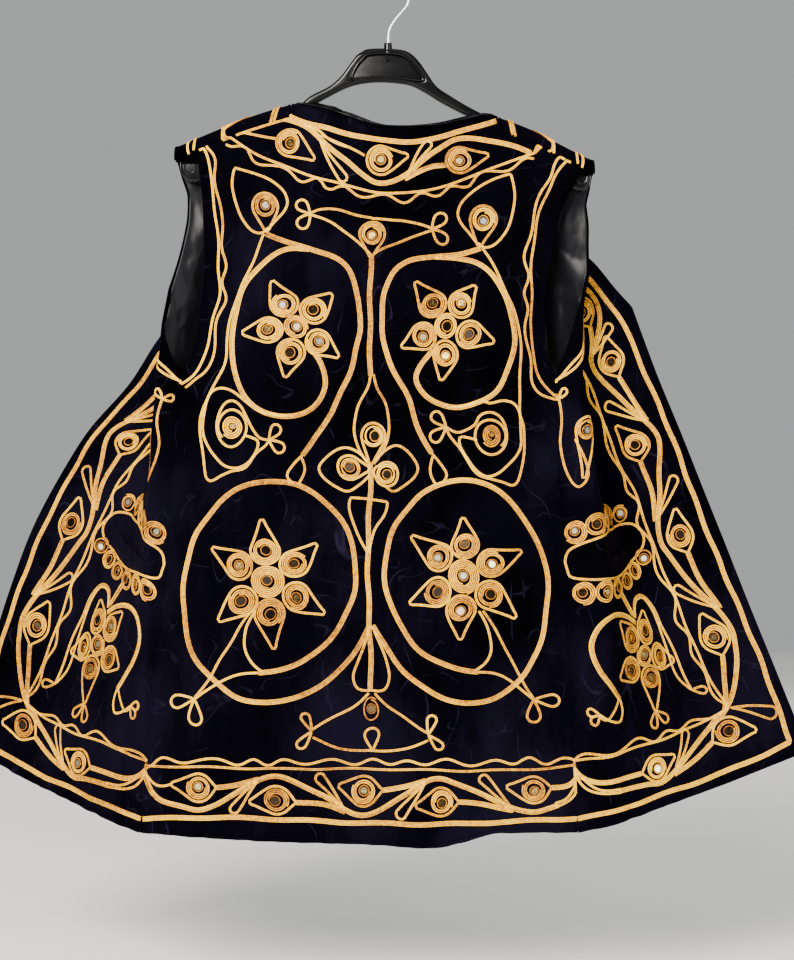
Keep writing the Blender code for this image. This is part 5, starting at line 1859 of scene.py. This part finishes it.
def velvet_material() -> Material:
    """Midnight velvet: a pile brushed in streaks, painted sheen on thin lines where it was crushed, painted
    light low down.
    """
    material, graph, shader, place = new_material(VELVET)
    brushed = graph.streaks(place, (1.0, 1.0, 0.45), 22.0, 4.0, 0.62)
    # Thin lines where the pile was crushed: they bend the normal, and their pale colour is painted sheen.
    crush = graph.maths("MULTIPLY", graph.lines(graph.stretched(place, (1.2, 1.2, 0.6)), 21.0, 0.009, 0.3),
                        graph.between(graph.noise(place, 26.0, 1.0), -4.5, 4.2, clamp=True))
    fine = graph.maths("MULTIPLY", graph.lines(graph.stretched(place, (0.7, 1.2, 1.1)), 44.0, 0.017, 0.4),
                       graph.between(graph.noise(place, 37.0, 1.0), -4.4, 4.0, clamp=True))
    marks = graph.maths("MAXIMUM", crush, graph.maths("MULTIPLY", fine, 0.6))
    parts = graph.node("ShaderNodeSeparateXYZ")
    graph.feed(parts, 0, place)
    # Painted light: the colour grows paler towards the hem and darker towards the shoulders.
    painted_lower_light = graph.between(parts.outputs[2], 0.09, -0.05, -0.86, -0.20)
    tone_and_painted_light = graph.maths("MULTIPLY_ADD", graph.noise(place, 5.5, 1.0), 0.8,
                        graph.maths("MULTIPLY_ADD", brushed, 0.5, painted_lower_light))
    colour = graph.ramp(tone_and_painted_light, (0.52, (0.00025, 0.00020, 0.00055)), (0.68, (0.0008, 0.0006, 0.0019)),
                        (0.86, (0.0030, 0.0023, 0.0064)))
    soft = graph.bump(graph.maths("MULTIPLY_ADD", marks, -0.3, brushed), 0.0016, 0.45)
    pile = graph.grain(place, 1500.0, 0.0004, 0.40, 2.0, 0.7, soft)
    graph.fill(shader, Base_Color=graph.mix(colour, (0.0068, 0.0056, 0.0130), marks),
               Roughness=graph.between(brushed, 1.0, 0.74), Normal=pile.outputs["Normal"])
    return material


def satin_material() -> Material:
    """Black satin: a fine weave, a long soft gloss and small sharp creases."""
    material, graph, shader, place = new_material(SATIN)
    creased = graph.streaks(place, (1.0, 1.0, 0.45), 21.0, 3.0, 0.5)
    folds = graph.lines(graph.stretched(place, (1.3, 1.3, 0.45)), 15.0, 0.26)
    colour = graph.ramp(creased, (0.3, (0.001, 0.001, 0.0015)), (0.7, (0.003, 0.0027, 0.0042)))
    soft = graph.bump(graph.maths("MULTIPLY_ADD", folds, 0.7, creased), 0.0070, 0.8)
    weave = graph.grain(graph.stretched(place, (1.0, 1.0, 0.15)), 2400.0, 0.0002, 0.3, 1.0, under=soft)
    graph.fill(shader, Base_Color=colour, Roughness=graph.between(creased, 0.24, 0.42),
               Normal=weave.outputs["Normal"])
    return material


def gold_material() -> Material:
    """Gold-coloured braid: its plaits, painted shade at its edges and in their groove, and a tone that drifts
    from strand to strand.
    """
    material, graph, shader, place = new_material(GOLD_CORD)
    facts = graph.node("ShaderNodeAttribute", attribute_name="cord")
    parts = graph.node("ShaderNodeSeparateXYZ")
    graph.feed(parts, 0, facts.outputs["Vector"])
    length, aside, tint = parts.outputs
    slant = graph.maths("ABSOLUTE", graph.maths("SUBTRACT", aside, 0.5))
    turn = graph.maths("MULTIPLY_ADD", length, 2 * math.pi / PLAIT, graph.maths("MULTIPLY", slant, 7.0))
    plait = graph.maths("MULTIPLY_ADD", graph.maths("SINE", turn), 0.5, 0.5)
    # Painted shade: the colour darkens towards each cord's edges and into the groove between its plaits; only
    # the crown keeps its full tone.
    edge = graph.between(aside, 1.0, 0.0, 0.60, 1.0, True)
    groove = graph.between(aside, 0.0, 1.0, -0.06, 0.44, True)
    painted_lit_crown = graph.maths("MULTIPLY", edge, groove)
    worn = graph.noise(place, 9.0, 3.0)
    fibre = graph.grain(place, 300.0, 0.0005, 0.6, 3.0, 0.65, graph.bump(plait, 0.0006, 0.35))
    tone = graph.maths("MULTIPLY_ADD", tint, 0.28, graph.maths("MULTIPLY", worn, 0.90))
    lit = graph.maths("MULTIPLY_ADD", fibre.outputs["Value"], 0.95, tone)
    lit = graph.maths("MULTIPLY_ADD", plait, 0.10, lit)
    shaded = graph.maths("MULTIPLY", graph.maths("SUBTRACT", lit, 0.54), painted_lit_crown)
    colour = graph.ramp(shaded, (0.04, (0.055, 0.016, 0.003)), (0.26, (0.35, 0.118, 0.004)),
                        (0.50, (0.82, 0.395, 0.003)), (0.80, (1.0, 0.655, 0.016)))
    graph.fill(shader, Base_Color=colour, Roughness=graph.between(plait, 0.60, 0.50),
               Normal=fibre.outputs["Normal"])
    return material


def mirror_material() -> Material:
    """Small glass mirrors: silvered, brassy or smoked by turns, with a mottled backing whose brightest spots
    are painted glints.
    """
    material, graph, shader, place = new_material(MIRROR_GLASS)
    tint = graph.node("ShaderNodeAttribute", attribute_name="tint").outputs["Fac"]
    # A fine mottle of the backing; its brightest spots are painted glints.
    mottled = graph.noise(place, 640.0, 3.0, 0.7)
    rim = graph.node("ShaderNodeAttribute", attribute_name="rim").outputs["Fac"]
    mixed = graph.maths("MULTIPLY_ADD", mottled, 0.55, graph.maths("MULTIPLY_ADD", tint, 0.60, 0.08))
    colour = graph.ramp(mixed, (0.50, (0.018, 0.012, 0.008)), (0.64, (0.12, 0.070, 0.025)),
                        (0.74, (0.66, 0.41, 0.08)), (0.84, (1.0, 0.80, 0.34)), (0.95, (1.0, 0.98, 0.95)))
    edge = graph.between(rim, 0.0, 1.0, 0.58, 0.90, True)
    graph.fill(shader, Base_Color=graph.mix(colour, (0.030, 0.018, 0.008), edge),
               Roughness=graph.between(mottled, 0.10, 0.30))
    return material


def plastic_material() -> Material:
    """Black moulded plastic with a fine grain and light scuffs."""
    material, graph, shader, place = new_material(PLASTIC)
    scuffed = graph.streaks(place, (0.4, 1.0, 1.0), 60.0, 4.0)
    colour = graph.ramp(scuffed, (0.4, (0.001, 0.001, 0.0013)), (0.8, (0.0025, 0.0025, 0.003)))
    graph.fill(shader, Base_Color=colour, Roughness=graph.between(scuffed, 0.14, 0.28),
               Normal=graph.grain(place, 1600.0, 0.00005, 0.20, 2.0).outputs["Normal"])
    return material


def steel_material() -> Material:
    """Drawn steel wire with faint lengthwise marks."""
    material, graph, shader, place = new_material(STEEL)
    drawn = graph.streaks(place, (1.0, 1.0, 0.3), 160.0, 2.0)
    graph.fill(shader, Base_Color=graph.ramp(drawn, (0.35, (0.32, 0.32, 0.33)), (0.7, (0.40, 0.40, 0.41))),
               Roughness=graph.between(drawn, 0.20, 0.28))
    return material


def floor_material() -> Material:
    """A plain pale floor."""
    material, graph, shader, place = new_material(FLOOR)
    cloud = graph.ramp(graph.noise(place, 2.0, 2.0), (0.3, (0.77, 0.76, 0.745)), (0.7, (0.81, 0.80, 0.785)))
    graph.feed(shader, "Base Color", cloud)
    return material


# ---------- the vest
@dataclass(frozen=True)
class Cut:
    """The flat cut of a cloth piece, in metres and square metres."""

    width: float
    length: float
    area: float


class Vest:
    """Builds the pieces of the vest over the frame."""

    def __init__(self, nodes: Sequence[str]) -> None:
        self.nodes = nodes
        self.velvet = velvet_material()
        self.satin = satin_material()
        self.gold = gold_material()
        self.mirror = mirror_material()

    def cloth(self, name: str, panel: Panel, wall: float, slot: Slot, node: str) -> Object:
        material = self.velvet if slot is Slot.VELVET else self.satin
        piece = cloth_piece(name, panel, wall, material)
        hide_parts(node)
        return piece

    def embroider(self, name: str, panel: Panel, pattern: Pattern, nodes: Sequence[str]) -> list[Object]:
        """Lays a pattern on a panel: its cord, the bezels of its mirrors and the mirrors."""
        pieces = []
        for kind, thread, runs, lift in (("braid", BRAID, pattern.braids, 0.0),
                                         ("coils", PLY, pattern.plies, 0.0),
                                         ("bezels", BEZEL, pattern.bezels, BEZEL_LIFT)):
            cords = CordMesh(panel, thread, lift)
            for run in runs:
                cords.lay(run)
            pieces.append(cords.build(f"{kind}_{name}", self.gold))
        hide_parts(*nodes)
        pieces.append(mirror_piece(f"mirrors_{name}", panel, pattern.mirrors, self.mirror))
        return pieces

    def edging(self, name: str, thread: Thread, panel: Panel, lines: Sequence[Array],
               fineness: int = 1) -> Object:
        """Velvet turned or gathered along lines of a panel's chart: its edges, or the seam at its side."""
        cords = CordMesh(panel, thread)
        for line in lines:
            cords.strand(even_points(line, fineness * len(line)), False)
        piece = cords.build(name, self.velvet)
        return piece

    def pocket(self, side: str, panel: Panel) -> None:
        """Builds a pocket's gathered inner edge, which stands a little open in its mouth."""
        lip = np.array(POCKET_LIP, dtype=float)
        across = np.linspace(0.0, 1.0, POCKET_COLUMNS)
        p = np.interp(across, np.linspace(0.0, 1.0, len(lip)), lip[:, 0])
        top = np.interp(across, np.linspace(0.0, 1.0, len(lip)), lip[:, 1])
        foot = np.interp(p, *np.array(POCKET_FOOT, dtype=float).T)
        rise = np.linspace(0.0, 1.0, POCKET_ROWS)[:, None]
        gather = waves(p, GATHERS)
        q = foot + rise * (top + GATHER_MOVE * gather - foot)
        places = np.stack((p + 0 * q, q), axis=-1)
        if side == "left":
            places = places[:, ::-1]
            gather = gather[::-1]
        points, _ = panel.lay(places.reshape(-1, 2))
        patch = Panel(points.reshape(*places.shape[:2], 3), places)
        open_at = np.sin(math.pi * across) ** 0.5
        heights = POCKET_REST + rise * POCKET_OPEN * open_at + GATHER_LIFT * rise**2 * gather * open_at
        self.cloth(f"pocket_edge_{side}", patch.raised(heights), VELVET_WALL, Slot.VELVET, f"pocket_{side}")

    def lining(self, name: str, panel: Panel, creases: Sequence[Crease], node: str) -> None:
        """Builds the satin behind a panel, loose of the velvet by its own creases."""
        face = Panel(panel.points - panel.normals * (VELVET_WALL + LINING_GAP), panel.chart)
        loose = np.clip(crease_heights(creases, panel.chart) + LINING_SLACK, 0.0, None)
        self.cloth(name, face.raised(-loose), SATIN_WALL, Slot.SATIN, node)

    def front(self, side: str, folds: Array) -> Array:
        """Builds a front with its embroidery, lining and pocket.

        Args:
            side: The side that it hangs on, "left" or "right".
            folds: Its table of folds.

        Returns:
            The points of its smooth form, from which the back takes its seams.
        """
        name = f"front_{side}"
        step, seam, shift = (1, -1, SIDE_SHIFT) if side == "left" else (-1, 0, 0.0)
        points, chart = front_grid(FrontSurface(folds))
        panel = hung_panel(points[:, ::step], chart[:, ::step], FRONT_CREASES, (seam,))
        own = [node for node in self.nodes if node.startswith(f"embroidery_{name}")]
        dressed = self.embroider(name, panel, front_pattern(shift), own)
        centre, armhole = panel.chart[:, -1 - seam], panel.chart[FINE.lower_rows:, seam]
        dressed.append(self.edging(f"edge_{name}", ROLL, panel, (panel.chart[0], centre, armhole)))
        side_line = panel.chart[:FINE.lower_rows + 1, seam]
        dressed.append(self.edging(f"seam_{name}", SEAM, panel, (side_line,), SEAM_FINENESS))
        self.cloth(f"velvet_{name}", panel, VELVET_WALL, Slot.VELVET, name)
        self.lining(f"satin_{name}", panel, LINING_CREASES, f"lining_{name}")
        self.pocket(side, panel)
        return points

    def back(self, left: Array, right: Array) -> None:
        """Builds the back between the smooth forms of both fronts, with its embroidery and lining."""
        points = back_grid(left, right)
        panel = hung_panel(points, seen_places(points), BACK_CREASES, (0, -1))
        own = [node for node in self.nodes if node.startswith("embroidery") and "front" not in node]
        dressed = self.embroider("back", panel, back_pattern(), own)
        neck = panel.chart[-1, FINE.shoulder_columns:-FINE.shoulder_columns]
        armholes = panel.chart[FINE.lower_rows:]
        edges = (panel.chart[0], neck, armholes[:, 0], armholes[:, -1])
        dressed.append(self.edging("edge_back", ROLL, panel, edges))
        self.cloth("velvet_back", panel, VELVET_WALL, Slot.VELVET, "back")
        self.lining("satin_back", panel, BACK_LINING_CREASES, "lining_back")


def camera() -> None:
    """Stands the camera at the eye, level and square to the back."""
    lens = set_up(bpy.data.cameras.new("view"), lens=LENS, sensor_fit="VERTICAL", sensor_height=SENSOR)
    lens.dof.use_dof = False
    level = (math.pi / 2, 0.0, 0.0)
    bpy.context.scene.camera = in_scene("view", lens, location=EYE, rotation_euler=level)


@dataclass(frozen=True)
class Lamp:
    """A soft square light that looks at the middle of the vest."""

    name: str
    place: Triple
    size: float
    power: float
    colour: Triple = (1.0, 1.0, 1.0)


LAMPS = (
    Lamp("key", (-1.2, -2.7, 1.0), 1.3, 370.0, (1.0, 0.97, 0.90)),
    Lamp("fill", (2.1, -2.3, 0.2), 2.2, 84.0, (1.0, 0.98, 0.95)),
    Lamp("behind_left", (-1.8, 2.4, 0.9), 1.8, 40.0),
    Lamp("behind_right", (1.9, 2.2, 0.4), 1.8, 32.0),
)
LAMP_TARGET = Vector((0.0, 0.0, -0.5))
FLOOR_HEIGHT = -1.03
FLOOR_SIZE = 9.0
SKY = (0.86, 0.87, 0.88)
SKY_STRENGTH = 0.48


def stage() -> None:
    """The floor, the lamps and the pale surroundings."""
    work = bmesh.new()
    bmesh.ops.create_grid(work, x_segments=1, y_segments=1, size=FLOOR_SIZE / 2)
    bmesh.ops.translate(work, verts=work.verts, vec=(0.0, 0.0, FLOOR_HEIGHT))
    mesh = mesh_of("floor", work)
    mesh.materials.append(floor_material())
    floor = in_scene("floor", mesh)
    for lamp in LAMPS:
        light = set_up(bpy.data.lights.new(lamp.name, "AREA"), energy=lamp.power, size=lamp.size,
                       color=lamp.colour)
        stand = in_scene(lamp.name, light, location=lamp.place)
        stand.rotation_euler = (LAMP_TARGET - stand.location).to_track_quat("-Z", "Y").to_euler()
    world = bpy.data.worlds.new("pale_room")
    world.use_nodes = True
    sky = world.node_tree.nodes["Background"]
    sky.inputs["Color"].default_value = (*SKY, 1.0)
    sky.inputs["Strength"].default_value = SKY_STRENGTH
    bpy.context.scene.world = world


def main() -> None:
    """Loads the frame and dresses it; each piece notes its face count."""
    logging.basicConfig(level=logging.INFO, format="%(message)s")
    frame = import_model()
    camera()
    stage()
    vest = Vest(list(frame["nodes"]))
    hanger = Hanger().build(plastic_material())
    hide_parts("hanger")
    hook = Hook().build(steel_material())
    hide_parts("hook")
    left = vest.front("left", LEFT_FOLDS)
    right = vest.front("right", RIGHT_FOLDS)
    vest.back(left, right)


if __name__ == "__main__":
    main()
